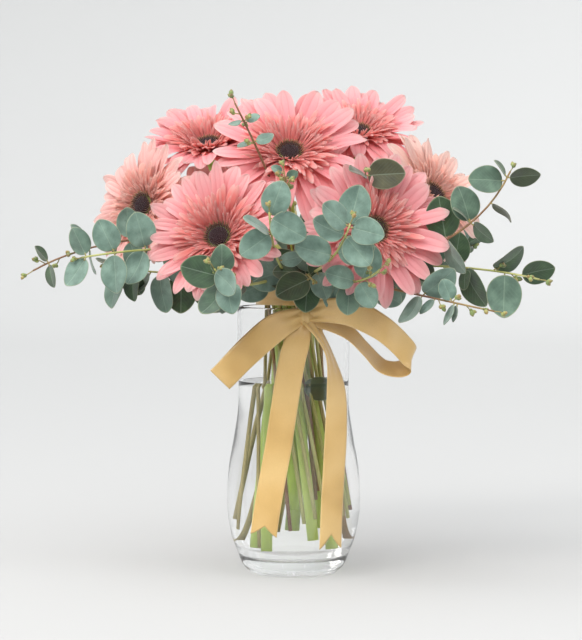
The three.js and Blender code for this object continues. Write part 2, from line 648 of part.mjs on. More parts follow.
place("vase", materials.glass, vase);
place("ribbon", materials.satin, ribbon);
for (const gerbera of gerberas) {
  place(`gerbera_${gerbera.name}_stem`, materials.stem, (grow) => gerberaStem(gerbera, grow));
}
for (const shape of sprigs) {
  place(`eucalyptus_${shape.name}`, materials.leaf, (grow) => sprig(shape, grow));
}
const heads = gerberas.map((gerbera) => {
  const head = new THREE.Group();
  head.applyMatrix4(headFrame(gerbera));
  bouquet.add(head);
  return head;
});
gerberas.forEach((gerbera, i) => {
  place(`gerbera_${gerbera.name}_disc`, materials.disc, (grow) => disc(gerbera, grow), heads[i]);
});
gerberas.forEach((gerbera, i) => {
  place(`gerbera_${gerbera.name}_florets`, materials.floret, (grow) => innerFlorets(gerbera, grow), heads[i]);
});
gerberas.forEach((gerbera, i) => {
  place(`gerbera_${gerbera.name}_petals`, materials.petal, (grow) => outerPetals(gerbera, grow), heads[i]);
});
place("water", materials.water, water);

export default bouquet;
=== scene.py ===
import math
import random

import bpy
from mathutils import Matrix, Vector
from mathutils.geometry import interpolate_bezier


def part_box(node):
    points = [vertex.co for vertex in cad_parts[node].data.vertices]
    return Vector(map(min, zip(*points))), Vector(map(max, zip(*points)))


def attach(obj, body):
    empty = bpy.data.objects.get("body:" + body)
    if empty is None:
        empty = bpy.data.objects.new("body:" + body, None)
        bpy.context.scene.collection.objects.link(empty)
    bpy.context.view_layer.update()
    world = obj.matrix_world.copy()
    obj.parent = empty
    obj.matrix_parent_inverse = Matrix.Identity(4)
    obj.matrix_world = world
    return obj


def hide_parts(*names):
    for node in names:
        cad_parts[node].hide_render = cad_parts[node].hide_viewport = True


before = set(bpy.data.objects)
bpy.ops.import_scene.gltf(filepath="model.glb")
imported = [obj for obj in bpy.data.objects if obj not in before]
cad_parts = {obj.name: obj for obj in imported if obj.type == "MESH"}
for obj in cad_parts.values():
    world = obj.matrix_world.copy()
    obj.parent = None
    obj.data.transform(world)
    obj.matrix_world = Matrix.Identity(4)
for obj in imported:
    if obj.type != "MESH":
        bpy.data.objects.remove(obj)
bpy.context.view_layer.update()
mm = 0.001
up = Vector((0, 0, 1))

# The camera stands in front of the vase.

camera = {
    "lens": 115,
    "distance": 1.537,  # in front of the middle of the vase
    "height": 0.263,
    "aside": -0.0019,
    "tiltDown": 2.74,
}


def addObject(name, data):
    made = bpy.data.objects.new(name, data)
    bpy.context.scene.collection.objects.link(made)
    return made


def addCamera(look):
    data = bpy.data.cameras.new("camera")
    data.lens = look["lens"]
    data.clip_start = 0.05
    data.clip_end = 60
    made = addObject("camera", data)
    made.location = (look["aside"], -look["distance"], look["height"])
    made.rotation_euler = (math.radians(90 - look["tiltDown"]), 0, 0)
    bpy.context.scene.camera = made


addCamera(camera)
print("camera placed")

# Tools for meshes.


def smooth(x):
    x = min(1, max(0, x))
    return x * x * (3 - 2 * x)


def blend(a, b, share):
    return a + (b - a) * share


def turnsOf(count):
    return [2 * math.pi * i / count for i in range(count)]


def splineBetween(points, i, f):
    # smooth line through given points, at share f of the way from point i to the next
    a, b, c, d = (Vector(points[min(max(k, 0), len(points) - 1)]) for k in (i - 1, i, i + 1, i + 2))
    return 0.5 * ((2 * b) + (c - a) * f + (2 * a - 5 * b + 4 * c - d) * f ** 2
                  + (3 * b - a - 3 * c + d) * f ** 3)


class Skin:
    # points and faces of one piece, and for each point where it lies across and along its own leaf or strip
    def __init__(self):
        self.points = []
        self.marks = []
        self.faces = []
        self.slots = []

    def grid(self, rows, marks=None, tone=0.5, slot=0, ring=False):
        start = len(self.points)
        columns = len(rows[0])
        for i, row in enumerate(rows):
            for j, place in enumerate(row):
                across = j / (columns - 1)
                along = i / (len(rows) - 1)
                rim = abs(2 * across - 1)
                self.points.append(place)
                self.marks.append((*marks[i][j], tone) if marks else (across, along, rim, tone))
        for i in range(len(rows) - 1):
            for j in range(columns if ring else columns - 1):
                here = start + i * columns + j
                beside = start + i * columns + (j + 1) % columns
                self.faces.append((here, beside, beside + columns, here + columns))
                self.slots.append(slot)
        return start

    def fan(self, middle, start, count, ahead, mark, tone=0.5, slot=0):
        apex = len(self.points)
        self.points.append(middle)
        self.marks.append((*mark, tone))
        for j in range(count):
            pair = (start + j, start + (j + 1) % count)
            self.faces.append((apex, *(pair if ahead else reversed(pair))))
            self.slots.append(slot)

    def close(self, start, rows, first, last, tone=0.5, slot=0):
        # caps both ends of a ring-shaped grid
        sides = len(rows[0])
        self.fan(first, start, sides, False, (0.5, 0, 0), tone, slot)
        self.fan(last, start + (len(rows) - 1) * sides, sides, True, (0.5, 1, 0), tone, slot)

    def tube(self, path, radiusAt, sides, tone=0.5):
        rows = ringsAlong(path, radiusAt, sides)
        start = self.grid(rows, tone=tone, ring=True)
        self.close(start, rows, path[0], path[-1], tone)


def ringsAlong(path, radiusAt, sides):
    rows = []
    last = len(path) - 1
    side = None
    for i, here in enumerate(path):
        tangent = (path[min(i + 1, last)] - path[max(i - 1, 0)]).normalized()
        side = side or tangent.orthogonal()
        side = (side - tangent * side.dot(tangent)).normalized()
        other = tangent.cross(side)
        radius = radiusAt(i / last)
        rows.append([here + (side * math.cos(a) + other * math.sin(a)) * radius for a in turnsOf(sides)])
    return rows


def addPiece(name, skin, materials, slot, *nodes, thickness=0, rounding=0):
    mesh = bpy.data.meshes.new(name)
    mesh.from_pydata(skin.points, [], skin.faces)
    for part, label in enumerate(("across", "along", "rim", "tone")):
        layer = mesh.attributes.new(label, "FLOAT", "POINT")
        layer.data.foreach_set("value", [mark[part] for mark in skin.marks])
    uv = mesh.uv_layers.new(name="lay")
    corners = [mark for loop in mesh.loops for mark in skin.marks[loop.vertex_index][:2]]
    uv.data.foreach_set("uv", corners)
    mesh.polygons.foreach_set("material_index", skin.slots)
    mesh.polygons.foreach_set("use_smooth", [True] * len(skin.faces))
    for material in materials:
        mesh.materials.append(material)
    piece = addObject(name, mesh)
    if thickness:
        solid = piece.modifiers.new("thickness", "SOLIDIFY")
        solid.thickness = thickness
        solid.offset = 0
    if rounding:
        finer = piece.modifiers.new("rounding", "SUBSURF")
        finer.levels = rounding
        finer.render_levels = rounding
    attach(piece, "root")
    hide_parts(*nodes)
    return piece


# Tools for materials.


def colour(code):
    parts = [int(code[i:i + 2], 16) / 255 for i in (0, 2, 4)]
    return (*[p / 12.92 if p < 0.04045 else ((p + 0.055) / 1.055) ** 2.4 for p in parts], 1)


class Finish:
    # one material round a Principled shader, with short ways to add the nodes that feed it
    def __init__(self, name, settings):
        self.material = bpy.data.materials.new(name)
        self.material.use_nodes = True
        self.nodes = self.material.node_tree.nodes
        self.links = self.material.node_tree.links
        self.shader = self.nodes["Principled BSDF"]
        self.output = self.nodes["Material Output"]
        for socket, value in settings.items():
            self.shader.inputs[socket].default_value = value

    def feed(self, socket, value):
        if isinstance(value, bpy.types.NodeSocket):
            self.links.new(value, socket)
        else:
            socket.default_value = value

    def set(self, socket, value):
        self.feed(self.shader.inputs[socket], value)

    def mark(self, label):
        node = self.nodes.new("ShaderNodeAttribute")
        node.attribute_name = label
        return node.outputs["Fac"]

    def math(self, kind, first, second=0.5):
        node = self.nodes.new("ShaderNodeMath")
        node.operation = kind
        self.feed(node.inputs[0], first)
        self.feed(node.inputs[1], second)
        return node.outputs[0]

    def apart(self, first, second):
        return self.math("ABSOLUTE", self.math("SUBTRACT", first, second))

    def between(self, value, low, high, outLow=0, outHigh=1):
        node = self.nodes.new("ShaderNodeMapRange")
        node.interpolation_type = "SMOOTHSTEP"
        self.feed(node.inputs[0], value)
        for socket, number in zip(node.inputs[1:5], (low, high, outLow, outHigh)):
            socket.default_value = number
        return node.outputs[0]

    def mix(self, share, first, second):
        node = self.nodes.new("ShaderNodeMix")
        node.data_type = "RGBA"
        self.feed(node.inputs[0], share)
        self.feed(node.inputs[6], first)
        self.feed(node.inputs[7], second)
        return node.outputs[2]

    def ramp(self, value, stops):
        node = self.nodes.new("ShaderNodeValToRGB")
        self.feed(node.inputs[0], value)
        marks = node.color_ramp.elements
        while len(marks) < len(stops):
            marks.new(0.5)
        for mark, (place, code) in zip(marks, stops):
            mark.position = place
            mark.color = colour(code)
        return node.outputs[0]

    def grain(self, scale, detail=3, stretch=(1, 1, 1)):
        place = self.nodes.new("ShaderNodeTexCoord").outputs["Object"]
        mapping = self.nodes.new("ShaderNodeMapping")
        mapping.inputs["Scale"].default_value = stretch
        self.links.new(place, mapping.inputs["Vector"])
        node = self.nodes.new("ShaderNodeTexNoise")
        node.inputs["Scale"].default_value = scale
        node.inputs["Detail"].default_value = detail
        self.links.new(mapping.outputs[0], node.inputs["Vector"])
        return node.outputs["Fac"]

    def letThrough(self, share, code):
        # thin tissue glows where light falls on its far side
        far = self.nodes.new("ShaderNodeBsdfTranslucent")
        far.inputs["Color"].default_value = colour(code)
        mix = self.nodes.new("ShaderNodeMixShader")
        mix.inputs[0].default_value = share
        self.links.new(self.shader.outputs[0], mix.inputs[1])
        self.links.new(far.outputs[0], mix.inputs[2])
        self.links.new(mix.outputs[0], self.output.inputs["Surface"])

    def bump(self, height, distance, strength):
        node = self.nodes.new("ShaderNodeBump")
        node.inputs["Strength"].default_value = strength
        node.inputs["Distance"].default_value = distance
        self.links.new(height, node.inputs["Height"])
        self.set("Normal", node.outputs[0])


# The bunch: how its stems run.

bunch = {
    "tieTop": 217,  # the stems start to bend here
    "foot": 15,  # height that the lower ends would reach if none were cut shorter
    "twist": 70,  # degrees
    "spread": 1.7,  # how much wider the stems stand at the foot
    "lowerSteps": 8,
}


def stemPath(tie, cut, rise, bend, far, upperSteps):
    turn = math.radians(tie[0])
    footTurn = turn + math.radians(bunch["twist"])
    wide = bunch["spread"] * tie[1]
    top = Vector((tie[1] * math.cos(turn), tie[1] * math.sin(turn), bunch["tieTop"]))
    foot = Vector((wide * math.cos(footTurn), wide * math.sin(footTurn), bunch["foot"]))
    end = foot.lerp(top, (cut - bunch["foot"]) / (bunch["tieTop"] - bunch["foot"]))
    leaving = top + (top - foot).normalized() * rise
    steps = bunch["lowerSteps"]
    lower = [end.lerp(top, i / steps) * mm for i in range(steps)]
    upper = interpolate_bezier(top * mm, leaving * mm, bend * mm, far * mm, upperSteps + 1)
    return lower, upper


# The glass vase.

vaseLook = {
    # outside as radius and height in mm, from the foot up to just under the lip
    "outside": [
        (33, 0), (38.5, 5.5), (42.4, 15), (47, 28), (50.3, 50),
        (49, 78), (45, 102), (41.6, 128), (42.2, 165), (42.4, 198.6),
    ],
    "lipRise": 1.4,  # how far the rounded lip stands above them
    "wall": 2.6,
    "floor": 12.5,  # thickness of the solid base
    "wallStart": 8,  # above the floor, where the wall has its even thickness
    "sides": 128,
    "tint": "ffffff",
    "absorb": "8fc0a6",
    "absorbDensity": 0.7,
}


def throughPoints(points, steps=6):
    made = [splineBetween(points, i, step / steps) for i in range(len(points) - 1) for step in range(steps)]
    return made + [Vector(points[-1])]


def lathe(skin, outline, sides, scale=mm):
    rows = [
        [Vector((radius * math.cos(a), radius * math.sin(a), height)) * scale for a in turnsOf(sides)]
        for radius, height in outline
    ]
    return skin.grid(rows, ring=True), rows


def closedLathe(skin, outline, sides):
    # the outline runs from the axis below, outside, to the axis above
    first, *inner, last = outline
    start, rows = lathe(skin, inner, sides)
    skin.close(start, rows, Vector((0, 0, first[1])) * mm, Vector((0, 0, last[1])) * mm)


def insideOf(look):
    start = look["floor"] + look["wallStart"]
    return [(r - look["wall"], z) for r, z in throughPoints(look["outside"]) if z > start]


def vaseOutline(look):
    outside = [tuple(p) for p in throughPoints(look["outside"])]
    half = look["wall"] / 2
    middle = outside[-1][0] - half
    top = outside[-1][1]
    turns = [math.pi * i / 8 for i in range(1, 8)]
    lip = [(middle + half * math.cos(a), top + look["lipRise"] * math.sin(a)) for a in turns]
    low = look["floor"]
    floorEdge = [
        (39.6, low + 6), (38.6, low + 3), (36.6, low + 1.1), (33.6, low + 0.2), (30, low), (15, low - 0.15),
    ]
    foot = [(0, 0.5), (12, 0.5), (24, 0.45), (30.5, 0.25), (32, 0.0), (33, 0.05), (34.4, 0.7)]
    # the foot's own rounding takes the place of the first three points outside
    return foot + outside[3:] + lip + insideOf(look)[::-1] + floorEdge + [(0, low - 0.3)]


def clearMaterial(name, tint, ior, absorb=None, density=0):
    # clear to the eye, and lamps light what stands inside it
    made = bpy.data.materials.new(name)
    made.use_nodes = True
    nodes = made.node_tree.nodes
    links = made.node_tree.links
    nodes.remove(nodes["Principled BSDF"])
    output = nodes["Material Output"]
    glass = nodes.new("ShaderNodeBsdfGlass")
    glass.inputs["Color"].default_value = colour(tint)
    glass.inputs["Roughness"].default_value = 0
    glass.inputs["IOR"].default_value = ior
    clear = nodes.new("ShaderNodeBsdfTransparent")
    clear.inputs["Color"].default_value = colour(tint)
    path = nodes.new("ShaderNodeLightPath")
    either = nodes.new("ShaderNodeMath")
    either.operation = "MAXIMUM"
    links.new(path.outputs["Is Shadow Ray"], either.inputs[0])
    links.new(path.outputs["Is Diffuse Ray"], either.inputs[1])
    mix = nodes.new("ShaderNodeMixShader")
    links.new(either.outputs[0], mix.inputs[0])
    links.new(glass.outputs[0], mix.inputs[1])
    links.new(clear.outputs[0], mix.inputs[2])
    links.new(mix.outputs[0], output.inputs["Surface"])
    if absorb:
        volume = nodes.new("ShaderNodeVolumeAbsorption")
        volume.inputs["Color"].default_value = colour(absorb)
        volume.inputs["Density"].default_value = density
        links.new(volume.outputs[0], output.inputs["Volume"])
    return made


def addVase(look):
    skin = Skin()
    closedLathe(skin, vaseOutline(look), look["sides"])
    glass = clearMaterial("clear_glass", look["tint"], 1.5, look["absorb"], look["absorbDensity"])
    addPiece("vase_glass", skin, [glass], "vase_glass", "vase")


addVase(vaseLook)
print("vase made")

# The water reaches a little into the glass, so that no air shows between them.

waterLook = {
    "level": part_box("water")[1].z / mm - 1,  # leaves room for the edge that climbs the glass
    "overlap": 0.25,
    "meniscus": 0.15,  # how far the edge of the surface climbs the glass
    "meniscusWidth": 1.0,
    "steepness": 3.2,
    "tint": "ffffff",
}


def addWater(look):
    level = look["level"]
    side = [(r + look["overlap"], z) for r, z in insideOf(vaseLook) if z < level]
    low = vaseLook["floor"]
    floor = [
        (0, low - 0.5), (15, low - 0.4), (30, low - 0.2), (33.6, low), (36.8, low + 0.9), (38.9, low + 2.9),
    ]
    edge = side[-1][0]
    top = []
    for i in range(9):
        inward = look["meniscusWidth"] * (i / 8) ** 1.5
        climb = look["meniscus"] * math.exp(-look["steepness"] * inward / look["meniscusWidth"])
        top.append((edge - inward, level + climb))
    surface = [(edge - 10, level), (edge / 2, level), (0, level)]
    skin = Skin()
    closedLathe(skin, floor + side + top + surface, vaseLook["sides"])
    addPiece("water_in_vase", skin, [clearMaterial("clear_water", look["tint"], 1.333)], "water", "water")


addWater(waterLook)
print("water made")

# The gerberas.

gerberaLook = {
    "petalRoot": 9.5,
    "cupRoot": 11,  # the petals start to rise here
    "stemRadius": 3.4,
    "stemRise": 34,  # how far a stem keeps straight above the tie
    "stemSteps": 14,
    "calyxDepth": 13,
    "discRadius": 9.4,
    "discFlorets": 190,
    "discUnderside": 2.9,  # the disc stands this far above the petals' root
    "petalThickness": 0.35,
    "floretThickness": 0.3,
}

# tie is the place in the bunch (degrees, radius) and cut the height of the stem's lower end. cup is how
# far the petals rise in degrees, sag how much the lower ones hang. petals and width are for the outer
# petals, pale runs from rosy to cream.
gerberas = {
    "front_left": {
        "tie": (238, 13), "cut": 28, "cup": 22, "sag": 0, "petals": 36, "width": 10.8, "pale": 0.12,
    },
    "front_right": {
        "tie": (302, 13), "cut": 20, "cup": 12, "sag": 0.1, "petals": 28, "width": 13, "pale": 0.05,
    },
    "top_front": {
        "tie": (0, 0), "cut": 48, "cup": 17, "sag": 0.5, "petals": 28, "width": 14.5, "pale": 0.0,
    },
    "left": {
        "tie": (192, 13), "cut": 94, "cup": 8, "sag": 0, "petals": 34, "width": 10.5, "pale": 0.6,
    },
    "top_left": {
        "tie": (150, 13), "cut": 18, "cup": 26, "sag": 0.2, "petals": 34, "width": 12, "pale": 0.0,
    },
    "top_right": {
        "tie": (25, 13), "cut": 33, "cup": 22, "sag": 0.3, "petals": 32, "width": 12.5, "pale": 0.0,
    },
    "right": {
        "tie": (350, 13), "cut": 35, "cup": 14, "sag": 0.3, "petals": 34, "width": 10.5, "pale": 1.0,
    },
    "back_left": {
        "tie": (112, 13), "cut": 22, "cup": 16, "sag": 0.1, "petals": 28, "width": 13, "pale": 0.1,
    },
    "back_right": {
        "tie": (62, 13), "cut": 30, "cup": 16, "sag": 0.1, "petals": 28, "width": 13, "pale": 0.3,
    },
}


def headOf(name):
    # where a head is and which way it faces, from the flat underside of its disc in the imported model
    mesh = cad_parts[f"gerbera_{name}_disc"].data
    areas = {}
    for face in mesh.polygons:
        key = tuple(round(n, 2) for n in face.normal)
        areas.setdefault(key, []).append(face)
    flat = max(areas.values(), key=lambda faces: sum(f.area for f in faces))
    axis = -flat[0].normal.normalized()
    corners = {tuple(round(c, 5) for c in mesh.vertices[i].co) for face in flat for i in face.vertices}
    middle = sum((Vector(c) for c in corners), Vector()) / len(corners)
    level = up.cross(axis).normalized()
    rising = axis.cross(level)
    turn = Matrix((level, rising, axis)).transposed().to_4x4()
    return Matrix.Translation(middle - axis * (gerberaLook["discUnderside"] * mm)) @ turn


def reachOf(name, head):
    back = head.inverted()
    places = [back @ v.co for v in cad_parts[f"gerbera_{name}_petals"].data.vertices]
    return max(math.hypot(p.x, p.y) for p in places) / mm


grooveAt = 0.36  # two grooves run along a petal, this far from its middle as a share of its half width
grooveColumns = (-1, -0.82, -0.5, -grooveAt, -0.22, 0, 0.22, grooveAt, 0.5, 0.82, 1)


def groove(u):
    return math.exp(-((abs(u) - grooveAt) / 0.1) ** 2)


def strapShare(s, tip):
    # share of the full width along a petal: narrow at its root, with a softly pointed tip
    share = 0.5 + 0.5 * smooth(s / 0.5)
    if s > 1 - tip:
        share *= max(0, 1 - ((s - 1 + tip) / tip) ** 2.1) ** 0.56
    return share


def addPetal(skin, head, turn, shape, tone):
    # shape: root and reach as radii, width, height(radius), lift and curl of the tip, twist, side bend
    along = Vector((math.cos(turn), math.sin(turn), 0))
    across = Vector((math.sin(turn), -math.cos(turn), 0))
    rows = []
    columns = shape["columns"]
    steps = shape["steps"]
    length = shape["reach"] - shape["root"]
    for i in range(steps + 1):
        s = 1 - (1 - i / steps) ** 1.5
        radius = shape["root"] + length * s
        half = shape["width"] / 2 * max(0.02, strapShare(s, shape["tip"]))
        middle = along * radius + across * (shape["side"] * s * s)
        height = shape["height"](radius) + shape["lift"] * s
        height += shape["curl"] * max(0, (s - 0.55) / 0.45) ** 2
        row = []
        for u in columns:
            z = height + shape["trough"] * half * (u * u - 0.3)
            z -= shape["groove"] * groove(u) * smooth(s * 4) * smooth((1 - s) * 5)
            z += u * half * math.sin(shape["twist"] * s)
            ripple = shape["ripple"] * math.sin(7 * s + shape["phase"] + 2.2 * u) * abs(u) * s
            row.append(head @ ((middle + across * (u * half) + Vector((0, 0, z + ripple))) * mm))
        rows.append(row)
    start = len(skin.points)
    skin.grid(rows, tone=tone)
    for i, mark in enumerate(skin.marks[start:]):
        u = columns[i % len(columns)]
        skin.marks[start + i] = (0.5 + 0.5 * u, 1 - (1 - mark[1]) ** 1.5, abs(u), tone)


def petalHeight(name, reach, turn):
    look = gerberas[name]
    slope = math.tan(math.radians(look["cup"]))
    root = gerberaLook["cupRoot"]

    def height(radius):
        share = max(0, radius - root) / (reach - root)
        drop = look["sag"] * reach * share ** 2 * max(0, -math.sin(turn))
        return (reach - root) * share * slope * (1 - 0.25 * share) - drop

    return height


# how much one petal or floret differs from the next, each as the least and the most. tip is the share of
# the length that the pointed end takes.
petalSpans = {
    "tip": (0.24, 0.36), "width": (0.82, 1.15), "lift": (-3.5, 3.5), "curl": (-7, 3), "trough": (-0.1, 0.34),
    "twist": (-0.42, 0.42), "side": (-4, 4), "ripple": (0, 0.9), "phase": (0, 6),
}
floretSpans = {
    "width": (0.8, 1.2), "lift": (-1, 1), "curl": (0.3, 1.6), "trough": (0.0, 0.45), "twist": (-1.2, 1.2),
    "side": (-3.2, 3.2),
}
layerReach = [(0.92, 1.0), (0.84, 0.97)]  # of the lower and the upper layer of outer petals


def drawn(spans, chance):
    return {key: chance.uniform(*span) for key, span in spans.items()}


def outerPetals(name, head, reach, materials):
    look = gerberas[name]
    chance = random.Random(name + " petals")
    skin = Skin()
    for layer in (0, 1):
        count = look["petals"] // 2
        for i in range(count):
            turn = 2 * math.pi * (i + 0.5 * layer + chance.uniform(-0.16, 0.16)) / count
            long = reach * chance.uniform(*layerReach[layer])
            heightAt = petalHeight(name, reach, turn)
            own = drawn(petalSpans, chance)
            shape = {
                **own, "root": gerberaLook["petalRoot"], "reach": long, "steps": 13,
                "columns": grooveColumns, "groove": 0.6,
                "width": look["width"] * own["width"], "lift": own["lift"] + 2.4 * layer,
                "height": lambda radius, f=heightAt, raised=1.6 * layer - 0.4: f(radius) + raised,
            }
            addPetal(skin, head, turn, shape, chance.random())
    addPiece(
        f"gerbera_{name}_outer_petals", skin, materials, "gerbera_petals", f"gerbera_{name}_petals",
        thickness=gerberaLook["petalThickness"] * mm, rounding=1,
    )


# rings of short inner florets: count, reach as a share of the petals', width, how far they rise beyond the
# petals in degrees, and how far their tips curl outward
floretRings = [
    {"count": 34, "reach": 0.62, "width": 3.8, "rise": 4, "curl": -1.0},
    {"count": 42, "reach": 0.56, "width": 2.8, "rise": 7, "curl": -1.0},
    {"count": 48, "reach": 0.49, "width": 2.2, "rise": 10, "curl": -0.5},
    {"count": 50, "reach": 0.42, "width": 1.8, "rise": 14, "curl": 0.5},
    {"count": 48, "reach": 0.35, "width": 1.5, "rise": 19, "curl": 1.0},
    {"count": 40, "reach": 0.29, "width": 1.3, "rise": 25, "curl": 1.5},
]


def floretHeight(root, base, slope, reach):
    return lambda radius: base + (radius - root) * slope * (1 - 0.35 * (radius - root) / (0.6 * reach))


def innerFlorets(name, head, reach, materials):
    look = gerberas[name]
    chance = random.Random(name + " florets")
    skin = Skin()
    for ring, kind in enumerate(floretRings):
        for i in range(kind["count"]):
            turn = 2 * math.pi * (i + chance.uniform(-0.35, 0.35)) / kind["count"]
            root = 9.8 - 0.3 * ring
            rise = min(72, look["cup"] + kind["rise"] + chance.uniform(-6, 16))
            flatReach = root + (kind["reach"] * reach * chance.uniform(0.85, 1.1) - root) * 0.98
            own = drawn(floretSpans, chance)
            shape = {
                **own, "root": root, "reach": flatReach, "columns": (-1, -0.4, 0.4, 1), "steps": 7,
                "width": kind["width"] * own["width"], "curl": kind["curl"] * own["curl"], "tip": 0.3,
                "height": floretHeight(root, 1.6 + 0.15 * ring, math.tan(math.radians(rise)), reach),
                "groove": 0.0, "ripple": 0.0, "phase": 0.0,
            }
            addPetal(skin, head, turn, shape, chance.random())
    addPiece(
        f"gerbera_{name}_inner_florets", skin, materials, "gerbera_florets", f"gerbera_{name}_florets",
        thickness=gerberaLook["floretThickness"] * mm,
    )


budOutline = ((0, 0.45), (0.3, 1), (0.65, 0.9), (0.9, 0.35))  # shares of its length and of its radius


def addBud(skin, at, axis, length, radius, tone, slot=0, sides=6):
    side = axis.orthogonal().normalized()
    other = axis.cross(side)
    rows = [
        [
            at + axis * (share * length) + (side * math.cos(a) + other * math.sin(a)) * (wide * radius)
            for a in turnsOf(sides)
        ]
        for share, wide in budOutline
    ]
    start = skin.grid(rows, tone=tone, slot=slot, ring=True)
    skin.close(start, rows, at, at + axis * length, tone, slot)


spiralTurn = 2.39996  # from one disc floret to the next, in radians


def discFlorets(name, head, materials):
    # tiny florets set in a spiral on a low dome, the outer ones longer, with pale brown tips
    chance = random.Random(name + " disc")
    skin = Skin()
    radius = gerberaLook["discRadius"]
    dome = [(0, 2.2), (6.6, 2.2), (7.2, 3.4), (6.4, 4.2), (4.6, 4.8), (2.4, 5.2), (0, 5.3)]
    closedLathe(skin, dome, 24)
    skin.points = [head @ p for p in skin.points]
    skin.marks = [(a, 0.1, r, 0.3) for a, _, r, _ in skin.marks]
    turn = head.to_3x3()
    for i in range(gerberaLook["discFlorets"]):
        share = math.sqrt((i + 0.5) / gerberaLook["discFlorets"])
        angle = i * spiralTurn
        out = Vector((math.cos(angle), math.sin(angle), 0))
        place = out * (share * radius) + Vector((0, 0, 5.2 - 2.4 * share ** 3))
        astray = Vector([chance.uniform(-0.15, 0.15) for _ in range(3)])
        lean = (up + out * (0.15 + 0.75 * share ** 2) + astray).normalized()
        length = (1.3 + 2.6 * smooth((share - 0.55) / 0.45)) * chance.uniform(0.8, 1.25)
        addBud(skin, head @ (place * mm), turn @ lean, length * mm, 0.42 * mm, share, sides=5)
    addPiece(f"gerbera_{name}_disc_florets", skin, materials, "gerbera_disc", f"gerbera_{name}_disc")


# rows of scales on the cup: count, heights of their lower and upper end, width, how far out they stand
bractRows = [(15, -12, -5.5, 3.2, 5.2), (18, -9.5, -2.4, 3.0, 8.1), (20, -6.5, 0.2, 2.6, 10.2)]


def calyxAndStem(name, head, materials):
    look = gerberas[name]
    chance = random.Random(name + " stem")
    skin = Skin()
    axis = head.to_3x3() @ up
    at = head.translation / mm
    back = at - axis * gerberaLook["calyxDepth"]
    lower, upper = stemPath(
        look["tie"], look["cut"], gerberaLook["stemRise"], back - axis * 24, back + axis * 2,
        gerberaLook["stemSteps"],
    )
    path = lower + upper
    radius = gerberaLook["stemRadius"] * mm

    def radiusAt(share):
        return radius * (1.08 - 0.2 * share + 0.12 * smooth((share - 0.96) / 0.04))

    skin.tube(path, radiusAt, 14, tone=chance.random())
    cup = [
        (0, -13.2), (3.6, -13), (6.2, -10.5), (8.6, -7.6), (10.2, -4.4), (11, -1.6), (9.6, -0.9), (0, -0.8),
    ]
    cupStart = len(skin.points)
    closedLathe(skin, cup, 24)
    skin.points[cupStart:] = [head @ p for p in skin.points[cupStart:]]
    for row, (count, low, high, wide, out) in enumerate(bractRows):
        for i in range(count):
            turn = 2 * math.pi * (i + 0.5 * (row % 2)) / count
            addBract(skin, head, turn, low, high, wide, out, chance.random())
    addPiece(f"gerbera_{name}_stalk", skin, materials, "gerbera_stem", f"gerbera_{name}_stem")


def addBract(skin, head, turn, low, high, wide, out, tone):
    # one pointed scale lying on the cup that holds the petals
    radial = Vector((math.cos(turn), math.sin(turn), 0))
    across = Vector((-math.sin(turn), math.cos(turn), 0))
    rows = []
    for i in range(5):
        share = i / 4
        half = wide / 2 * math.sqrt(max(0.02, 1 - share ** 1.7))
        radius = out + 1.6 * share + 0.5
        height = up * blend(low, high, share)
        row = [radial * (radius - 0.5 * abs(u)) + across * (u * half) + height for u in (-1, 0, 1)]
        rows.append([head @ (p * mm) for p in row])
    skin.grid(rows, tone=tone)


def petalMaterial(name, look):
    made = Finish(name, look["settings"])
    along = made.mark("along")
    across = made.mark("across")
    soft = made.grain(90, 3)
    place = made.math("ADD", along, made.math("MULTIPLY", made.math("SUBTRACT", soft, 0.5), 0.22))
    base = made.ramp(place, look["stops"])
    pale = made.ramp(place, look["paleStops"])
    mixed = made.mix(look["pale"], base, pale)
    lines = made.nodes.new("ShaderNodeTexWave")
    lines.bands_direction = "X"
    lines.inputs["Scale"].default_value = look["lines"]
    lines.inputs["Distortion"].default_value = 1.5
    lines.inputs["Detail"].default_value = 1.5
    made.links.new(made.nodes.new("ShaderNodeUVMap").outputs[0], lines.inputs["Vector"])
    veins = made.between(lines.outputs["Fac"], 0.15, 0.75)
    # painted shade: a darker pink laid along the two grooves of each petal, where shade falls in the creases
    creaseShadeMask = made.math("SUBTRACT", 1.0, made.between(made.apart(made.apart(across, 0.5), 0.18), 0.0, 0.06))
    creaseShaded = made.mix(made.math("MULTIPLY", creaseShadeMask, look["creaseShadeStrength"]), mixed, colour(look["creaseShadeColour"]))
    edges = made.between(made.mark("rim"), 0.55, 0.98, 0, look["edge"])
    edged = made.mix(edges, creaseShaded, colour(look["edgeColour"]))
    lined = made.mix(made.math("MULTIPLY", veins, 0.18), edged, colour(look["veinColour"]))
    tone = made.between(made.mark("tone"), 0, 1, 0.9, 1.07)
    shade = made.nodes.new("ShaderNodeHueSaturation")
    made.feed(shade.inputs["Value"], tone)
    made.feed(shade.inputs["Color"], lined)
    made.set("Base Color", shade.outputs[0])
    made.set("Roughness", made.between(soft, 0.3, 0.7, look["roughLow"], look["roughHigh"]))
    made.bump(made.math("ADD", veins, made.math("MULTIPLY", made.grain(1500, 2), 0.4)), 0.00025, 0.7)
    made.letThrough(look["glow"], look["glowColour"])
    return made.material


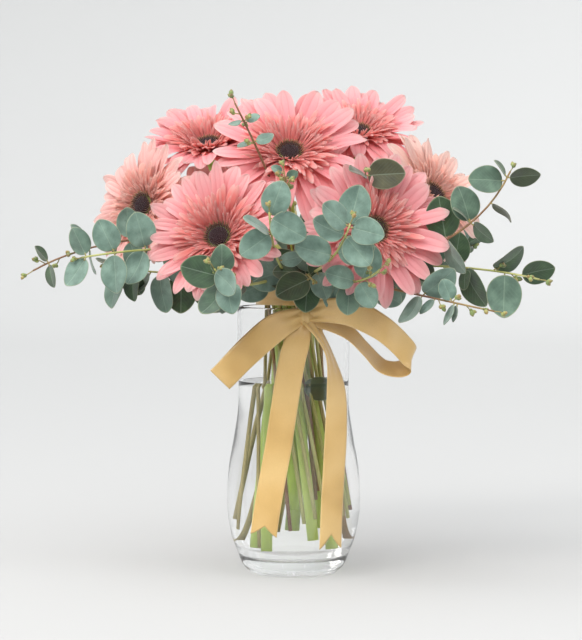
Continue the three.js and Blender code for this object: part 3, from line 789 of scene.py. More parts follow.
petalLook = {
    "settings": {"Sheen Weight": 0.25, "Sheen Roughness": 0.5, "Specular IOR Level": 0.35},
    "stops": [(0.0, "f48486"), (0.35, "faa0a5"), (0.7, "fdb6bc"), (0.93, "fdcccd"), (1.0, "ffe8e3")],
    "paleStops": [(0.0, "f2ab98"), (0.35, "f8cbb9"), (0.75, "fcdfd4"), (1.0, "fff0e6")],
    # the crease strength and colour give the painted shade in the petal grooves
    "lines": 5.5, "edge": 0.18, "edgeColour": "ffe9e2", "creaseShadeStrength": 0.3, "creaseShadeColour": "df6f74",
    "veinColour": "e98a8e", "roughLow": 0.5, "roughHigh": 0.68, "glow": 0.35, "glowColour": "ffb4b2",
    "paleGlow": "ffdacd",
}
floretLook = {
    **petalLook,
    "stops": [(0.0, "ff8a84"), (0.4, "ff9d98"), (0.7, "ffb8b3"), (0.86, "ffe2dc"), (1.0, "fffbf8")],
    "paleStops": [(0.0, "e69078"), (0.3, "f4b09a"), (0.65, "f9cabb"), (1.0, "fff0e6")],
    "lines": 2.0, "creaseShadeStrength": 0.0, "glow": 0.6, "glowColour": "ffc4bd", "edge": 0.4,
}
discLook = {
    # from the middle of the disc to its edge
    "stops": [(0.0, "2a0d17"), (0.55, "361119"), (0.8, "5a3a1f"), (1.0, "7c5a2e")],
    "tips": "c08a62",
    "spots": "160609",
}
stalkLook = {
    "stops": [(0.25, "86a436"), (0.5, "adc656"), (0.75, "cfe084")],
    "pale": "b9cf7c",
}


def discMaterial(look):
    made = Finish("disc", {"Roughness": 0.8, "Sheen Weight": 0.4, "Specular IOR Level": 0.3})
    tips = made.math("MULTIPLY", made.mark("along"), made.between(made.mark("tone"), 0.6, 0.95))
    centre = made.ramp(made.mark("tone"), look["stops"])
    tipped = made.mix(made.between(tips, 0.35, 0.95), centre, colour(look["tips"]))
    spots = made.between(made.grain(900, 2), 0.45, 0.7, 0, 0.35)
    made.set("Base Color", made.mix(spots, tipped, colour(look["spots"])))
    made.bump(made.grain(1400, 3), 0.0002, 0.5)
    return made.material


def stalkMaterial(look):
    made = Finish("stalk", {"Roughness": 0.45, "Specular IOR Level": 0.4, "Sheen Weight": 0.15})
    streaks = made.grain(60, 3, stretch=(1, 1, 0.12))
    green = made.ramp(streaks, look["stops"])
    toned = made.mix(made.between(made.mark("tone"), 0, 1, 0, 0.45), green, colour(look["pale"]))
    made.set("Base Color", toned)
    made.bump(made.grain(500, 3, stretch=(1, 1, 0.1)), 0.0003, 0.5)
    return made.material


def addGerberas():
    disc = discMaterial(discLook)
    stalk = stalkMaterial(stalkLook)
    for name, look in gerberas.items():
        head = headOf(name)
        reach = reachOf(name, head)
        tint = {"pale": look["pale"]}
        if look["pale"] > 0.5:
            tint["glowColour"] = petalLook["paleGlow"]
        outerPetals(name, head, reach, [petalMaterial(f"petal_{name}", {**petalLook, **tint})])
        innerFlorets(name, head, reach, [petalMaterial(f"floret_{name}", {**floretLook, **tint})])
        discFlorets(name, head, [disc])
        calyxAndStem(name, head, [stalk])
        print("gerbera", name, "made")


addGerberas()

# The eucalyptus.

sprigLook = {
    "radius": 1.3,
    "tipRadius": 0.7,
    "leafWidth": 0.84,  # of its length
    "leafThickness": 0.4,
    "leafRings": 5,
    "leafSides": 24,
    "leafStalk": 1.6,
    "budRadius": 1.5,
    "budLength": 3.8,
    "budsOnTwig": 3,
    "steps": 24,
}
# how much one leaf differs from the next, each as the least and the most
leafSpans = {
    "bow": (-0.10, 0.12), "fold": (0.05, 0.2), "wave": (0.0, 0.03), "phase": (0, 6), "curl": (-0.08, 0.12),
}

# tie, cut: as for the gerberas. rise is how far the stem keeps straight above the tie, then come its bend
# and its tip. face is the way the leaves turn. leaves: place along the bent stem, heading as the front
# shows it, lean to the front, length, tilt to edge on. under is a leaf on the straight stem below the tie.
# the leaves' tone range runs from bluish through green to olive; its dark green and olive end is partly the
# leaves' own tone and partly painted shade, given to sprigs that stand in shadow. bark runs from brown to a
# fresh yellow green.
sprigs = {
    "left_long": {
        "tie": (200, 21.5), "cut": 36, "rise": 45, "bend": (-128, -66, 262), "tip": (-188, -62, 228),
        "face": (0, -1, 0.2), "buds": 3, "toneAndShade": (0.4, 0.9), "bark": 0.2,
        "leaves": [
            (0.67, 95, 0, 22, 20), (0.67, -70, 0, 22, 30), (0.8, 128, 10, 20, 60),
            (0.8, -78, 10, 18, 80), (0.94, 130, 10, 14, 55), (0.94, -77, 15, 17, 55),
        ],
    },
    "left_near": {
        "tie": (217, 21.5), "cut": 41, "rise": 32, "bend": (-92, -92, 248), "tip": (-150, -92, 238),
        "face": (0, -1, 0.1), "buds": 0, "toneAndShade": (0.1, 0.62), "bark": 0.9,
        "leaves": [
            (0.75, 105, 5, 26, 10), (0.75, -116, 5, 26, 30), (0.87, 115, 5, 24, 0),
            (0.87, -88, 5, 27, 30), (0.98, 115, 5, 21, 35), (0.98, -122, 5, 23, 30),
            (0.61, 80, -10, 24, 0), (0.61, -100, -10, 24, 0),
        ],
    },
    "left_low": {
        "tie": (232, 21.5), "cut": 44, "rise": 14, "bend": (-72, -62, 220), "tip": (-131, -60, 231),
        "face": (0, -1, 0.3), "buds": 0, "toneAndShade": (0.3, 0.95), "bark": 0.6,
        "leaves": [
            (0.62, -70, 25, 20, 20), (0.71, -90, 15, 28, 0), (0.76, 70, -20, 22, 0),
            (0.81, -78, 5, 28, 45), (0.84, -120, 0, 17, 60), (0.91, -92, 10, 21, 45),
            (0.95, -60, -20, 22, 30), (0.98, -98, 5, 28, 50), (0.98, 160, 0, 15, 60),
        ],
    },
    "front_low_left": {
        "tie": (247, 21.5), "cut": 52, "rise": 12, "bend": (-38, -112, 206), "tip": (-55, -126, 231),
        "face": (0, -1, 0.1), "buds": 4, "under": (0.53, 5, 0, 24, 30), "toneAndShade": (0.35, 0.85), "bark": 0.8,
        "leaves": [
            (0.33, 172, 10, 26, 0), (0.33, 204, 20, 26, 0), (0.56, 100, 10, 22, 0),
            (0.63, -137, 15, 30, 62), (0.75, -112, 15, 22, 45), (0.82, -128, 10, 28, 35),
            (0.85, -80, 25, 23, 10), (0.9, 165, 5, 28, 0), (0.91, 88, 15, 21, 15),
            (0.98, -45, 25, 22, 30),
        ],
    },
    "front_centre": {
        "tie": (262, 21.5), "cut": 46, "rise": 14, "bend": (-14, -108, 226), "tip": (-17, -122, 270),
        "face": (0, -1, 0.05), "buds": 0, "toneAndShade": (0.1, 0.6), "bark": 0.7,
        "leaves": [
            (0.33, 195, 25, 28, 0), (0.33, 160, 10, 26, 0), (0.0, 60, 0, 27, 0), (0.03, 160, 0, 26, 0),
            (0.58, 10, 0, 17, 40), (0.87, -145, 10, 25, 0), (0.87, 150, 20, 22, 65),
            (0.97, 70, 0, 25, 0), (0.97, -30, -5, 27, 0),
        ],
    },
    "front_collar": {
        "tie": (277, 21.5), "cut": 44, "rise": 10, "bend": (8, -48, 228), "tip": (13, -66, 222),
        "face": (0, -1, 0.3), "buds": 0, "toneAndShade": (0.8, 0.95), "bark": 0.5,
        "leaves": [
            (0.55, 192, 20, 26, 0), (0.55, 150, 0, 26, 0), (0.55, 25, 0, 26, 0), (0.55, -14, 10, 25, 0),
            (0.96, 206, 5, 26, 0), (0.85, -95, 10, 25, 0), (0.85, 40, 10, 20, 20),
            (0.85, 170, 0, 24, 20),
        ],
    },
    "front_right": {
        "tie": (290, 21.5), "cut": 42, "rise": 12, "bend": (26, -108, 222), "tip": (39, -126, 262),
        "face": (0, -1, 0.1), "buds": 0, "toneAndShade": (0.1, 0.6), "bark": 0.8,
        "leaves": [
            (0.43, 120, 0, 22, 0), (0.47, -70, 0, 20, 0), (0.74, 165, 10, 27, 15), (0.77, 10, 0, 26, 0),
            (0.92, 155, 10, 24, 25), (0.92, -50, 10, 25, 0), (0.98, 75, -10, 28, 0),
            (0.98, 140, 20, 24, 25), (0.98, -15, 20, 24, 0),
        ],
    },
    "front_low_right": {
        "tie": (305, 21.5), "cut": 50, "rise": 10, "bend": (40, -98, 210), "tip": (60, -112, 230),
        "face": (0, -1, 0.1), "buds": 4, "toneAndShade": (0.35, 0.85), "bark": 0.8,
        "leaves": [
            (0.33, -10, 15, 26, 0), (0.33, 22, 0, 26, 0), (0.48, -75, 0, 22, 10), (0.69, -95, 10, 22, 0),
            (0.76, 165, 10, 22, 20), (0.78, -60, 10, 20, 10), (0.81, 70, 0, 24, 0),
            (0.64, -30, -15, 26, 0),
        ],
    },
    "right_low": {
        "tie": (322, 21.5), "cut": 46, "rise": 12, "bend": (74, -92, 214), "tip": (142, -92, 200),
        "face": (0, -1, 0.1), "buds": 4, "toneAndShade": (0.1, 0.5), "bark": 0.3,
        "leaves": [
            (0.53, -35, 5, 22, 20), (0.63, 60, 0, 22, 10), (0.74, 40, 10, 28, 35),
            (0.74, -125, 10, 24, 60), (0.79, -135, 10, 14, 60), (0.85, 112, 0, 16, 10),
            (0.86, -115, 10, 16, 72), (0.87, -100, 0, 12, 70),
        ],
    },
    "right_high": {
        "tie": (340, 21.5), "cut": 27, "rise": 16, "bend": (118, -92, 222), "tip": (154, -80, 299),
        "face": (-0.1, -1, 0.1), "buds": 0, "toneAndShade": (0.5, 0.97), "bark": 0.3,
        "leaves": [
            (0.58, 70, -10, 24, 0), (0.58, -60, -10, 22, 30), (0.7, 100, 5, 30, 0),
            (0.69, -55, 20, 27, 62), (0.8, 108, -5, 26, 15), (0.8, 140, 20, 16, 75),
            (0.8, -40, 20, 20, 55), (0.89, -35, 20, 19, 78), (0.97, 178, 5, 25, 10),
            (0.98, 125, 10, 14, 70), (0.98, 5, 5, 22, 50),
        ],
    },
    "right_mid": {
        "tie": (357, 21.5), "cut": 39, "rise": 14, "bend": (112, -50, 238), "tip": (176, -74, 222),
        "face": (0, -1, 0.1), "buds": 3, "toneAndShade": (0.6, 0.9), "bark": 0.6,
        "leaves": [
            (0.63, 75, -15, 24, 20), (0.74, -60, 10, 31, 55), (0.75, -95, 15, 15, 50),
            (0.71, 80, 0, 24, 20), (0.84, 35, 5, 26, 55), (0.88, -92, 5, 31, 0), (0.93, 12, 5, 24, 35),
        ],
    },
    "top": {
        "tie": (270, 12.5), "cut": 62, "rise": 55, "bend": (-16, -46, 296), "tip": (-42, -66, 348),
        "face": (0, -0.6, 0.8), "buds": 4, "toneAndShade": (0.0, 0.3), "bark": 0.0,
        "leaves": [
            (0.81, 195, 10, 11, 10), (0.81, 15, 10, 14, 10), (0.92, 200, 10, 10, 10),
            (0.92, 15, 10, 11, 10),
        ],
    },
    "middle_buds": {
        "tie": (285, 9), "cut": 55, "rise": 50, "bend": (-2, -78, 266), "tip": (-7, -88, 299),
        "face": (0, -1, 0.3), "buds": 4, "toneAndShade": (0.5, 0.9), "bark": 0.4,
        "leaves": [
            (0.94, 30, 10, 9, 20), (0.98, 150, 10, 9, 20),
        ],
    },
    "right_gap": {
        "tie": (325, 12.5), "cut": 52, "rise": 45, "bend": (50, -44, 284), "tip": (51, -80, 297),
        "face": (0, -1, 0.3), "buds": 0, "toneAndShade": (0.95, 1.0), "bark": 0.1,
        "leaves": [
            (0.98, 3, 10, 27, 10), (0.98, 160, 55, 18, 40),
        ],
    },
    "back_right": {
        "tie": (35, 21.5), "cut": 31, "rise": 28, "bend": (104, 54, 240), "tip": (136, 72, 244),
        "face": (0.3, 0.5, 0.8), "buds": 0, "toneAndShade": (0.3, 0.9), "bark": 0.5,
        "leaves": [
            (0.5, 70, -15, 26, 0), (0.5, -50, -15, 26, 10), (0.64, 50, 20, 25, 15),
            (0.64, -20, -45, 26, 0), (0.78, 75, -10, 26, 0), (0.78, -45, -10, 24, 0),
            (0.9, 60, 20, 22, 20), (0.9, -10, -50, 22, 0), (0.98, 35, 0, 20, 0),
        ],
    },
    "back_low_right": {
        "tie": (62, 21.5), "cut": 26, "rise": 12, "bend": (70, 100, 226), "tip": (96, 128, 214),
        "face": (0.3, 1, 0.4), "buds": 0, "toneAndShade": (0.3, 0.9), "bark": 0.5,
        "leaves": [
            (0.5, 60, -20, 26, 0), (0.5, -60, -40, 24, 0), (0.66, 20, -10, 26, 20),
            (0.66, 150, -60, 25, 0), (0.82, 70, -40, 25, 0), (0.82, -80, -20, 24, 10),
            (0.98, 0, -45, 22, 0), (0.98, 80, -20, 20, 0),
        ],
    },
    "back_middle": {
        "tie": (90, 21.5), "cut": 40, "rise": 26, "bend": (8, 120, 232), "tip": (2, 140, 272),
        "face": (0, 1, 0.3), "buds": 4, "toneAndShade": (0.3, 0.9), "bark": 0.5,
        "leaves": [
            (0.5, 25, -40, 26, 0), (0.5, 155, -40, 25, 0), (0.66, -20, -30, 26, 10),
            (0.66, 200, -30, 26, 0), (0.8, 30, -20, 26, 0), (0.8, 150, -20, 25, 0),
            (0.94, 0, -10, 24, 0), (0.94, 180, -10, 23, 20),
        ],
    },
    "back_low_left": {
        "tie": (118, 21.5), "cut": 34, "rise": 12, "bend": (-62, 104, 226), "tip": (-84, 130, 212),
        "face": (-0.3, 1, 0.4), "buds": 3, "toneAndShade": (0.3, 0.9), "bark": 0.5,
        "leaves": [
            (0.5, 120, -20, 26, 0), (0.5, -120, -40, 24, 0), (0.66, 160, -10, 26, 20),
            (0.66, 30, -60, 25, 0), (0.82, 110, -40, 25, 0), (0.82, -100, -20, 24, 10),
            (0.98, 180, -45, 22, 0), (0.98, 100, -20, 20, 0),
        ],
    },
    "back_left": {
        "tie": (160, 21.5), "cut": 23, "rise": 28, "bend": (-104, 56, 240), "tip": (-138, 70, 242),
        "face": (-0.3, 0.5, 0.8), "buds": 0, "toneAndShade": (0.3, 0.9), "bark": 0.5,
        "leaves": [
            (0.5, 110, -15, 26, 0), (0.5, -130, -15, 26, 10), (0.64, 130, 20, 25, 15),
            (0.64, 200, -45, 26, 0), (0.78, 105, -10, 26, 0), (0.78, -135, -10, 24, 0),
            (0.9, 120, 20, 22, 20), (0.9, 190, -50, 22, 0), (0.98, 145, 0, 20, 0),
        ],
    },
}


def addLeaf(skin, root, direction, normal, length, tone, chance):
    width = length * sprigLook["leafWidth"] / 2
    across = direction.cross(normal).normalized()
    rings = sprigLook["leafRings"]
    around = sprigLook["leafSides"]
    own = drawn(leafSpans, chance)
    rows = []
    marks = []

    def place(x, y):
        egg = 1 + 0.1 * -y
        pointed = 0.035 * max(0, y) ** 10 * (1 - min(1, abs(x) * 2))
        forward = (0.5 + 0.5 * y + pointed) * length
        aside = x * width * egg
        height = own["curl"] * max(0, y) ** 3 - own["bow"] * (y * y - 0.3)
        height += own["wave"] * math.sin(3 * math.atan2(x, y) + own["phase"]) * (x * x + y * y)
        height = height * length + own["fold"] * abs(aside)
        return root + direction * forward + across * aside + normal * height

    for ring in range(1, rings + 1):
        rho = (ring / rings) ** 0.85
        spots = [(rho * math.sin(a), rho * math.cos(a)) for a in turnsOf(around)]
        rows.append([place(x, y) for x, y in spots])
        marks.append([(0.5 + 0.5 * x, 0.5 + 0.5 * y, rho) for x, y in spots])
    start = skin.grid(rows, marks, tone=tone, ring=True)
    skin.fan(place(0, 0), start, around, False, (0.5, 0.5, 0), tone)


def addLeafOn(leaves, wood, curve, leaf, faceTo, toneAndShade, chance):
    place, heading, lean, length, tilt = leaf
    root, _ = pointOn(curve, place)
    around = math.radians(heading)
    direction = Vector((math.cos(around), -math.tan(math.radians(lean)), math.sin(around))).normalized()
    normal = (faceTo - direction * faceTo.dot(direction)).normalized()
    normal = Matrix.Rotation(math.radians(tilt), 3, direction) @ normal
    stalk = root + direction * (sprigLook["leafStalk"] * mm)
    wood.tube([root, stalk + direction * (1.5 * mm)], lambda share: 0.55 * mm, 6)
    addLeaf(leaves, stalk, direction, normal, length * mm, chance.uniform(*toneAndShade), chance)


def pointOn(curve, place):
    at = place * (len(curve) - 1)
    i = min(int(at), len(curve) - 2)
    return curve[i].lerp(curve[i + 1], at - i), (curve[i + 1] - curve[i]).normalized()


def addBudCluster(wood, curve, count, chance):
    # short side twigs near the tip, each with a few pods at its end
    for i in range(count + 1):
        root, tangent = pointOn(curve, 1 - 0.05 * i)
        side = Matrix.Rotation(math.radians(i * 137.5), 3, tangent) @ tangent.orthogonal().normalized()
        direction = (tangent * 0.9 + side * min(i, 1)).normalized()
        reach = chance.uniform(5, 8.5) * mm
        bent = root + direction * (0.55 * reach) + side * (0.08 * reach)
        twigEnd = root + direction * reach
        wood.tube([root, bent, twigEnd], lambda share: 0.42 * mm, 5)
        beside = direction.orthogonal().normalized()
        for j in range(sprigLook["budsOnTwig"]):
            turned = Matrix.Rotation(math.radians(j * 120 + 40 * i), 3, direction) @ beside
            out = (direction + turned * 0.75).normalized()
            size = chance.uniform(0.75, 1.25) * mm
            at = twigEnd - direction * (0.9 * j * mm)
            long = sprigLook["budLength"] * size
            addBud(wood, at, out, long, sprigLook["budRadius"] * size, chance.random(), slot=1)


def addSprig(name, shape, materials):
    chance = random.Random(name)
    bend = Vector(shape["bend"])
    tip = Vector(shape["tip"])
    lower, upper = stemPath(shape["tie"], shape["cut"], shape["rise"], bend, tip, sprigLook["steps"])
    path = lower + upper
    wood = Skin()
    leaves = Skin()
    start = len(lower) / (len(path) - 1)

    def radiusAt(share):
        thin = smooth((share - start) / (1 - start))
        return blend(sprigLook["radius"], sprigLook["tipRadius"], thin) * mm

    wood.tube(path, radiusAt, 8, tone=shape["bark"])
    faceTo = Vector(shape["face"]).normalized()
    for leaf in shape["leaves"]:
        addLeafOn(leaves, wood, upper, leaf, faceTo, shape["toneAndShade"], chance)
    if "under" in shape:
        addLeafOn(leaves, wood, lower + upper[:1], shape["under"], faceTo, shape["toneAndShade"], chance)
    addBudCluster(wood, upper, shape["buds"], chance)
    node = f"eucalyptus_{name}"
    addPiece(f"{node}_leaves", leaves, materials[:1], "eucalyptus", node,
             thickness=sprigLook["leafThickness"] * mm, rounding=1)
    addPiece(f"{node}_wood", wood, materials[1:], "eucalyptus", node)


leafLook = {
    "blue": [(0.3, "557064"), (0.5, "6b877a"), (0.7, "829e90")],
    # dark green and olive: partly the leaves' own colour, partly painted shade for leaves that stand in
    # shadow
    "green": [(0.3, "213822"), (0.55, "33502f"), (0.75, "4a6843")],
    "olive": [(0.3, "35341f"), (0.6, "4b4930"), (0.8, "615f42")],
    "veins": "a5bba3",
    "rim": "a3a883",
    "flecks": "3f5a4c",
    "glow": 0.1,
    "glowColour": "8fae72",
}
woodLook = {
    "bark": [(0.3, "6e4c3e"), (0.5, "8a6a4c"), (0.7, "a08c5c")],
    "fresh": [(0.3, "8d9250"), (0.5, "a9ab6a"), (0.7, "bdbd84")],
}
budLook = {
    "stops": [(0.0, "6a7c50"), (0.5, "93a562"), (1.0, "a5955c")],
    "cap": "8a5b3d",
}


def leafMaterial(look):
    made = Finish("leaf", {"Sheen Weight": 0.35, "Sheen Roughness": 0.6, "Specular IOR Level": 0.3})
    across = made.mark("across")
    along = made.mark("along")
    rim = made.mark("rim")
    tone = made.mark("tone")
    bloom = made.grain(120, 5)
    blue, green, olive = (made.ramp(bloom, look[kind]) for kind in ("blue", "green", "olive"))
    # the tone moves the leaf from bluish to dark green and olive, partly real tone and partly painted shade
    mixed = made.mix(made.between(tone, 0.45, 0.8), blue, green)
    mixed = made.mix(made.between(tone, 0.9, 0.98), mixed, olive)
    aside = made.apart(across, 0.5)
    midrib = made.math("SUBTRACT", 1.0, made.between(aside, 0.004, 0.022))
    slant = made.math("SUBTRACT", along, made.math("MULTIPLY", aside, 0.9))
    wave = made.math("SINE", made.math("MULTIPLY", slant, 58.0))
    sideVeins = made.math("MULTIPLY", made.between(wave, 0.82, 1.0), made.between(rim, 0.98, 0.5))
    veins = made.math("MAXIMUM", midrib, made.math("MULTIPLY", sideVeins, 0.25))
    veined = made.mix(made.math("MULTIPLY", veins, 0.3), mixed, colour(look["veins"]))
    rimmed = made.mix(made.between(rim, 0.955, 0.99, 0, 0.45), veined, colour(look["rim"]))
    flecks = made.between(made.grain(700, 2), 0.6, 0.72, 0, 0.25)
    made.set("Base Color", made.mix(flecks, rimmed, colour(look["flecks"])))
    made.set("Roughness", made.between(bloom, 0.3, 0.7, 0.48, 0.72))
    height = made.math("ADD", made.math("MULTIPLY", veins, -0.6), made.math("MULTIPLY", bloom, 0.5))
    made.bump(height, 0.0003, 0.7)
    made.letThrough(look["glow"], look["glowColour"])
    return made.material


def woodMaterial(look):
    made = Finish("twig", {"Roughness": 0.6, "Specular IOR Level": 0.35})
    length = made.grain(45, 3, stretch=(1, 1, 0.3))
    bark = made.ramp(length, look["bark"])
    fresh = made.ramp(length, look["fresh"])
    made.set("Base Color", made.mix(made.between(made.mark("tone"), 0.35, 0.65), bark, fresh))
    made.bump(made.grain(900, 3, stretch=(1, 1, 0.2)), 0.0003, 0.6)
    return made.material


def budMaterial(look):
    made = Finish("bud", {"Roughness": 0.5, "Specular IOR Level": 0.35, "Sheen Weight": 0.2})
    green = made.ramp(made.mark("tone"), look["stops"])
    capped = made.mix(made.between(made.mark("along"), 0.55, 0.85, 0, 0.5), green, colour(look["cap"]))
    made.set("Base Color", capped)
    made.bump(made.grain(1200, 2), 0.0002, 0.5)
    return made.material


def addEucalyptus():
    materials = [leafMaterial(leafLook), woodMaterial(woodLook), budMaterial(budLook)]
    for name, shape in sprigs.items():
        addSprig(name, shape, materials)
    print(len(sprigs), "sprigs of eucalyptus made")


addEucalyptus()

# The satin ribbon.

ribbonLook = {
    "width": 19.5,
    "length": 0.95,  # as it was cut, in metres
    "thickness": 0.3,
    "tieRadius": 28.5,
    "tieWidth": 14,
    "tieHeight": 208.5,
    "knotAt": (8.5, -49.5, 194),
    "notch": 11,
    "columns": 12,
    "bandSteps": 96,
    "knotSides": 48,
    "gold": [(0.3, "c09a58"), (0.5, "d3ae6c"), (0.7, "ddbb7c")],
    "weave": "9b7c48",
    "edge": "e2c790",
}
# places of each strip in mm, each with the direction across the ribbon and a share of its width
leftTail = [
    ((7, -50, 193), (1, 0, 0.1), 0.6),
    ((3, -54, 178), (1, 0, 0.15), 0.95),
    ((-2, -53, 158), (1, 0, 0.2), 1),
    ((-6.5, -51.8, 130), (1, 0, 0.2), 1),
    ((-11, -51, 100), (1, 0, 0.2), 1),
    ((-15.5, -51.2, 75), (1, -0.08, 0.2), 1),
    ((-19.5, -52, 52), (1, -0.12, 0.2), 1),
    ((-22, -52, 34), (1, -0.12, 0.2), 1),
]
rightTail = [
    ((10, -50, 193), (0.6, 0.5, 0.4), 0.6),
    ((18, -53, 182), (0.3, 0.9, 0.3), 0.8),
    ((26, -50, 166), (0.3, 0.95, 0.1), 0.9),
    ((31, -47, 140), (0.7, 0.7, 0), 1),
    ((31, -45.5, 110), (0.84, 0.55, 0), 1),
    ((29.5, -44.5, 80), (0.84, 0.55, 0), 1),
    ((28, -44.3, 52), (0.84, 0.55, 0), 1),
    ((27, -44, 23), (0.84, 0.55, 0), 1),
]
leftLoop = [
    ((7, -51, 195), (0.2, 0, -1), 0.6),
    ((-12, -58, 187), (0.5, 0, -0.85), 1),
    ((-34, -60, 168), (0.66, 0, -0.75), 1),
    ((-51, -57.5, 151), (0.72, 0, -0.69), 1),
    ((-53, -54.5, 149.5), (0.72, 0, -0.69), 1),
    ((-50, -51.5, 152), (0.72, 0, -0.69), 1),
    ((-32, -48.5, 171), (0.6, 0, -0.8), 1),
    ((-13, -48.5, 188), (0.4, 0, -0.9), 0.9),
    ((7, -48, 195), (0.2, 0, -1), 0.6),
]
rightLoop = [
    ((10, -51, 196), (0, 0, 1), 0.6),
    ((25, -57, 199), (0.1, 0, 1), 0.9),
    ((43, -61, 197), (0.2, 0, 1), 1),
    ((63, -61, 187), (0.42, 0.35, 0.85), 1),
    ((78, -58, 174), (0.45, 0.45, 0.75), 1),
    ((85.5, -52, 163), (0.2, 0.3, 0.95), 1),
    ((78, -46, 156), (0.2, 0.75, 0.6), 1),
    ((65, -46, 158), (0.35, 0.85, 0.35), 1),
    ((53, -47, 170), (0.3, 0.9, 0.3), 1),
    ((41, -47, 182), (0.2, 0.85, 0.45), 1),
    ((26, -47, 190), (0, 0.7, 0.7), 0.9),
    ((10, -48, 195), (0, 0.3, 1), 0.6),
]
strand = [
    ((3, -28.5, 209), (1, 0, 0), 0.7),
    ((4.5, -37, 206.5), (1, 0, 0), 0.6),
    ((6.5, -45.5, 203), (1, 0, 0), 0.55),
    ((8, -49.5, 196), (1, 0, 0), 0.5),
]


def splinePoint(points, t):
    at = t * (len(points) - 1)
    i = min(int(at), len(points) - 2)
    return splineBetween(points, i, at - i)


def addStrip(skin, places, steps, notch=0):
    # a strip of ribbon; where it is narrower than it was cut, it lies in folds
    middles = [Vector(place) for place, _, _ in places]
    acrosses = [Vector(across).normalized() for _, across, _ in places]
    shares = [Vector((share, 0, 0)) for _, _, share in places]
    columns = ribbonLook["columns"]
    rows = []
    length = sum((b - a).length for a, b in zip(middles, middles[1:]))
    for i in range(steps + 1):
        row = []
        for j in range(columns + 1):
            u = 2 * j / columns - 1
            t = i / steps
            if notch:
                end = 1 - notch / length * (1 - abs(u))
                late = max(0, (t - 0.8) / 0.2)
                t = t - late * (1 - end)
            middle = splinePoint(middles, t)
            ahead = splinePoint(middles, min(1, t + 0.01)) - splinePoint(middles, max(0, t - 0.01))
            ahead.normalize()
            across = splinePoint(acrosses, t)
            across = (across - ahead * across.dot(ahead)).normalized()
            share = splinePoint(shares, t).x
            normal = ahead.cross(across)
            folds = (1 - min(1, share)) * 5.5
            rise = folds * math.sin(u * 7.5 + 1.3) * 0.55 + 0.5 * (1 - u * u)
            row.append((middle + across * (u * ribbonLook["width"] / 2 * share) + normal * rise) * mm)
        rows.append(row)
    skin.grid(rows)


def addBand(skin):
    # the gathered turn round the bunch
    rows = []
    for turn in [*turnsOf(ribbonLook["bandSteps"]), 2 * math.pi]:
        row = []
        for j in range(11):
            u = 2 * j / 10 - 1
            radius = ribbonLook["tieRadius"] + 0.45 * math.sin(9 * u + math.sin(3 * turn))
            height = ribbonLook["tieHeight"] + u * ribbonLook["tieWidth"] / 2
            row.append(Vector((radius * math.cos(turn), radius * math.sin(turn), height)) * mm)
        rows.append(row)
    skin.grid(rows)


def addKnot(skin):
    # the short turn that grips both loops: a drum with pleats running up and down
    at = Vector(ribbonLook["knotAt"])
    steps = 18
    rows = []
    for i in range(steps + 1):
        turn = math.pi * i / steps
        row = []
        for side in turnsOf(ribbonLook["knotSides"]):
            pleat = 1 + 0.09 * math.sin(9 * side) + 0.05 * math.sin(17 * side + 1)
            wide = 6.4 * math.sin(turn) ** 0.6 * pleat
            out = Vector((wide * math.cos(side), 0.75 * wide * math.sin(side), -6.6 * math.cos(turn)))
            row.append((at + out) * mm)
        rows.append(row)
    start = skin.grid(rows[1:-1], ring=True)
    skin.close(start, rows[1:-1], rows[0][0], rows[-1][0])


def satinMaterial(look):
    made = Finish("satin", {
        "Roughness": 0.3, "Specular IOR Level": 0.7, "Sheen Weight": 0.3, "Sheen Roughness": 0.4,
        "Anisotropic": 0.65,
    })
    across = made.mark("across")
    rim = made.mark("rim")
    weave = made.grain(2600, 2)
    soft = made.grain(25, 2)
    gold = made.ramp(soft, look["gold"])
    woven = made.mix(made.between(weave, 0.35, 0.65, 0, 0.18), gold, colour(look["weave"]))
    edged = made.mix(made.between(rim, 0.93, 0.965, 0, 0.5), woven, colour(look["edge"]))
    made.set("Base Color", edged)
    ribs = made.math("SINE", made.math("MULTIPLY", across, 420.0))
    height = made.math("ADD", made.math("MULTIPLY", ribs, 0.4), made.between(rim, 0.93, 0.97, 0, 3))
    made.bump(height, 0.00006, 0.5)
    tangent = made.nodes.new("ShaderNodeTangent")
    tangent.direction_type = "UV_MAP"
    made.set("Tangent", tangent.outputs[0])
    return made.material


def addRibbon():
    satin = satinMaterial(ribbonLook)
    skin = Skin()
    addBand(skin)
    addStrip(skin, leftTail, 64, ribbonLook["notch"])
    addStrip(skin, rightTail, 64, ribbonLook["notch"])
    addStrip(skin, leftLoop, 72)
    addStrip(skin, rightLoop, 90)
    addStrip(skin, strand, 16)
    knotSkin = Skin()
    addKnot(knotSkin)
    knot = addPiece("ribbon_knot", knotSkin, [satin], "satin_ribbon", "ribbon")
    piece = addPiece("satin_ribbon", skin, [satin], "satin_ribbon", "ribbon",
                     thickness=ribbonLook["thickness"] * mm)
    print("ribbon made")


addRibbon()

# The studio.

studio = {
    "floorRadius": 3.0,
    "wallRadius": 4.4,
    "wallHeight": 1.7,
    "sides": 96,
    "paper": "bcbdbd",
    "sky": 0.66,  # light from everywhere
    "glow": 2.05,  # and from a broad soft window up to the left of the camera
    "window": (-0.5, -0.6, 0.62),
    "windowEdge": 0.1,
}


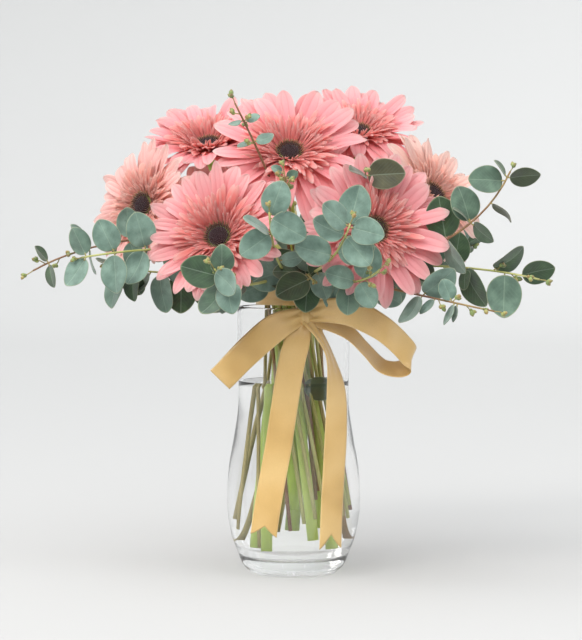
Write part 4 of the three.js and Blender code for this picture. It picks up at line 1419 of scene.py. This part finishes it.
def addStudio(look):
    skin = Skin()
    floor = [(0.4 * i, 0) for i in range(1, 6)]
    bend = look["wallRadius"] - look["floorRadius"]
    turns = [math.pi / 2 * i / 16 for i in range(17)]
    cove = [(look["floorRadius"] + bend * math.sin(a), bend * (1 - math.cos(a))) for a in turns]
    outline = floor + cove + [(look["wallRadius"], look["wallHeight"])]
    start, _ = lathe(skin, outline, look["sides"], 1)
    skin.fan(Vector((0, 0, 0)), start, look["sides"], False, (0.5, 0, 0))
    mesh = bpy.data.meshes.new("backdrop")
    mesh.from_pydata(skin.points, [], skin.faces)
    mesh.flip_normals()
    mesh.polygons.foreach_set("use_smooth", [True] * len(skin.faces))
    settings = {"Roughness": 0.9, "Specular IOR Level": 0.1, "Base Color": colour(look["paper"])}
    mesh.materials.append(Finish("paper", settings).material)
    addObject("backdrop", mesh)
    world = bpy.data.worlds.new("studio")
    world.use_nodes = True
    nodes = world.node_tree.nodes
    links = world.node_tree.links
    sky = nodes["Background"]
    sky.inputs["Color"].default_value = (1, 1, 1, 1)
    facing = nodes.new("ShaderNodeVectorMath")
    facing.operation = "DOT_PRODUCT"
    facing.inputs[1].default_value = Vector(look["window"]).normalized()
    links.new(nodes.new("ShaderNodeTexCoord").outputs["Generated"], facing.inputs[0])
    soft = nodes.new("ShaderNodeMapRange")
    soft.interpolation_type = "SMOOTHERSTEP"
    span = (look["windowEdge"], 1.0, look["sky"], look["sky"] + look["glow"])
    for socket, number in zip(soft.inputs[1:5], span):
        socket.default_value = number
    links.new(facing.outputs["Value"], soft.inputs[0])
    links.new(soft.outputs[0], sky.inputs["Strength"])
    bpy.context.scene.world = world


# place, size, watts, colour
lamps = {
    "key": ((-1.0, -1.3, 1.6), 0.7, 15, "fff8f2"),
    "side": ((1.4, -0.7, 1.0), 0.9, 6, "ffffff"),
}


def addLamps():
    for name, (place, size, watts, code) in lamps.items():
        data = bpy.data.lights.new(name, "AREA")
        data.shape = "DISK"
        data.size = size
        data.energy = watts
        data.color = colour(code)[:3]
        lamp = addObject(name, data)
        lamp.location = place
        toward = Vector((0, 0, 0.22)) - Vector(place)
        lamp.rotation_euler = toward.to_track_quat("-Z", "Y").to_euler()
        lamp.visible_camera = False


addStudio(studio)
addLamps()
bpy.context.scene.view_settings.view_transform = "Standard"
print("studio lit")
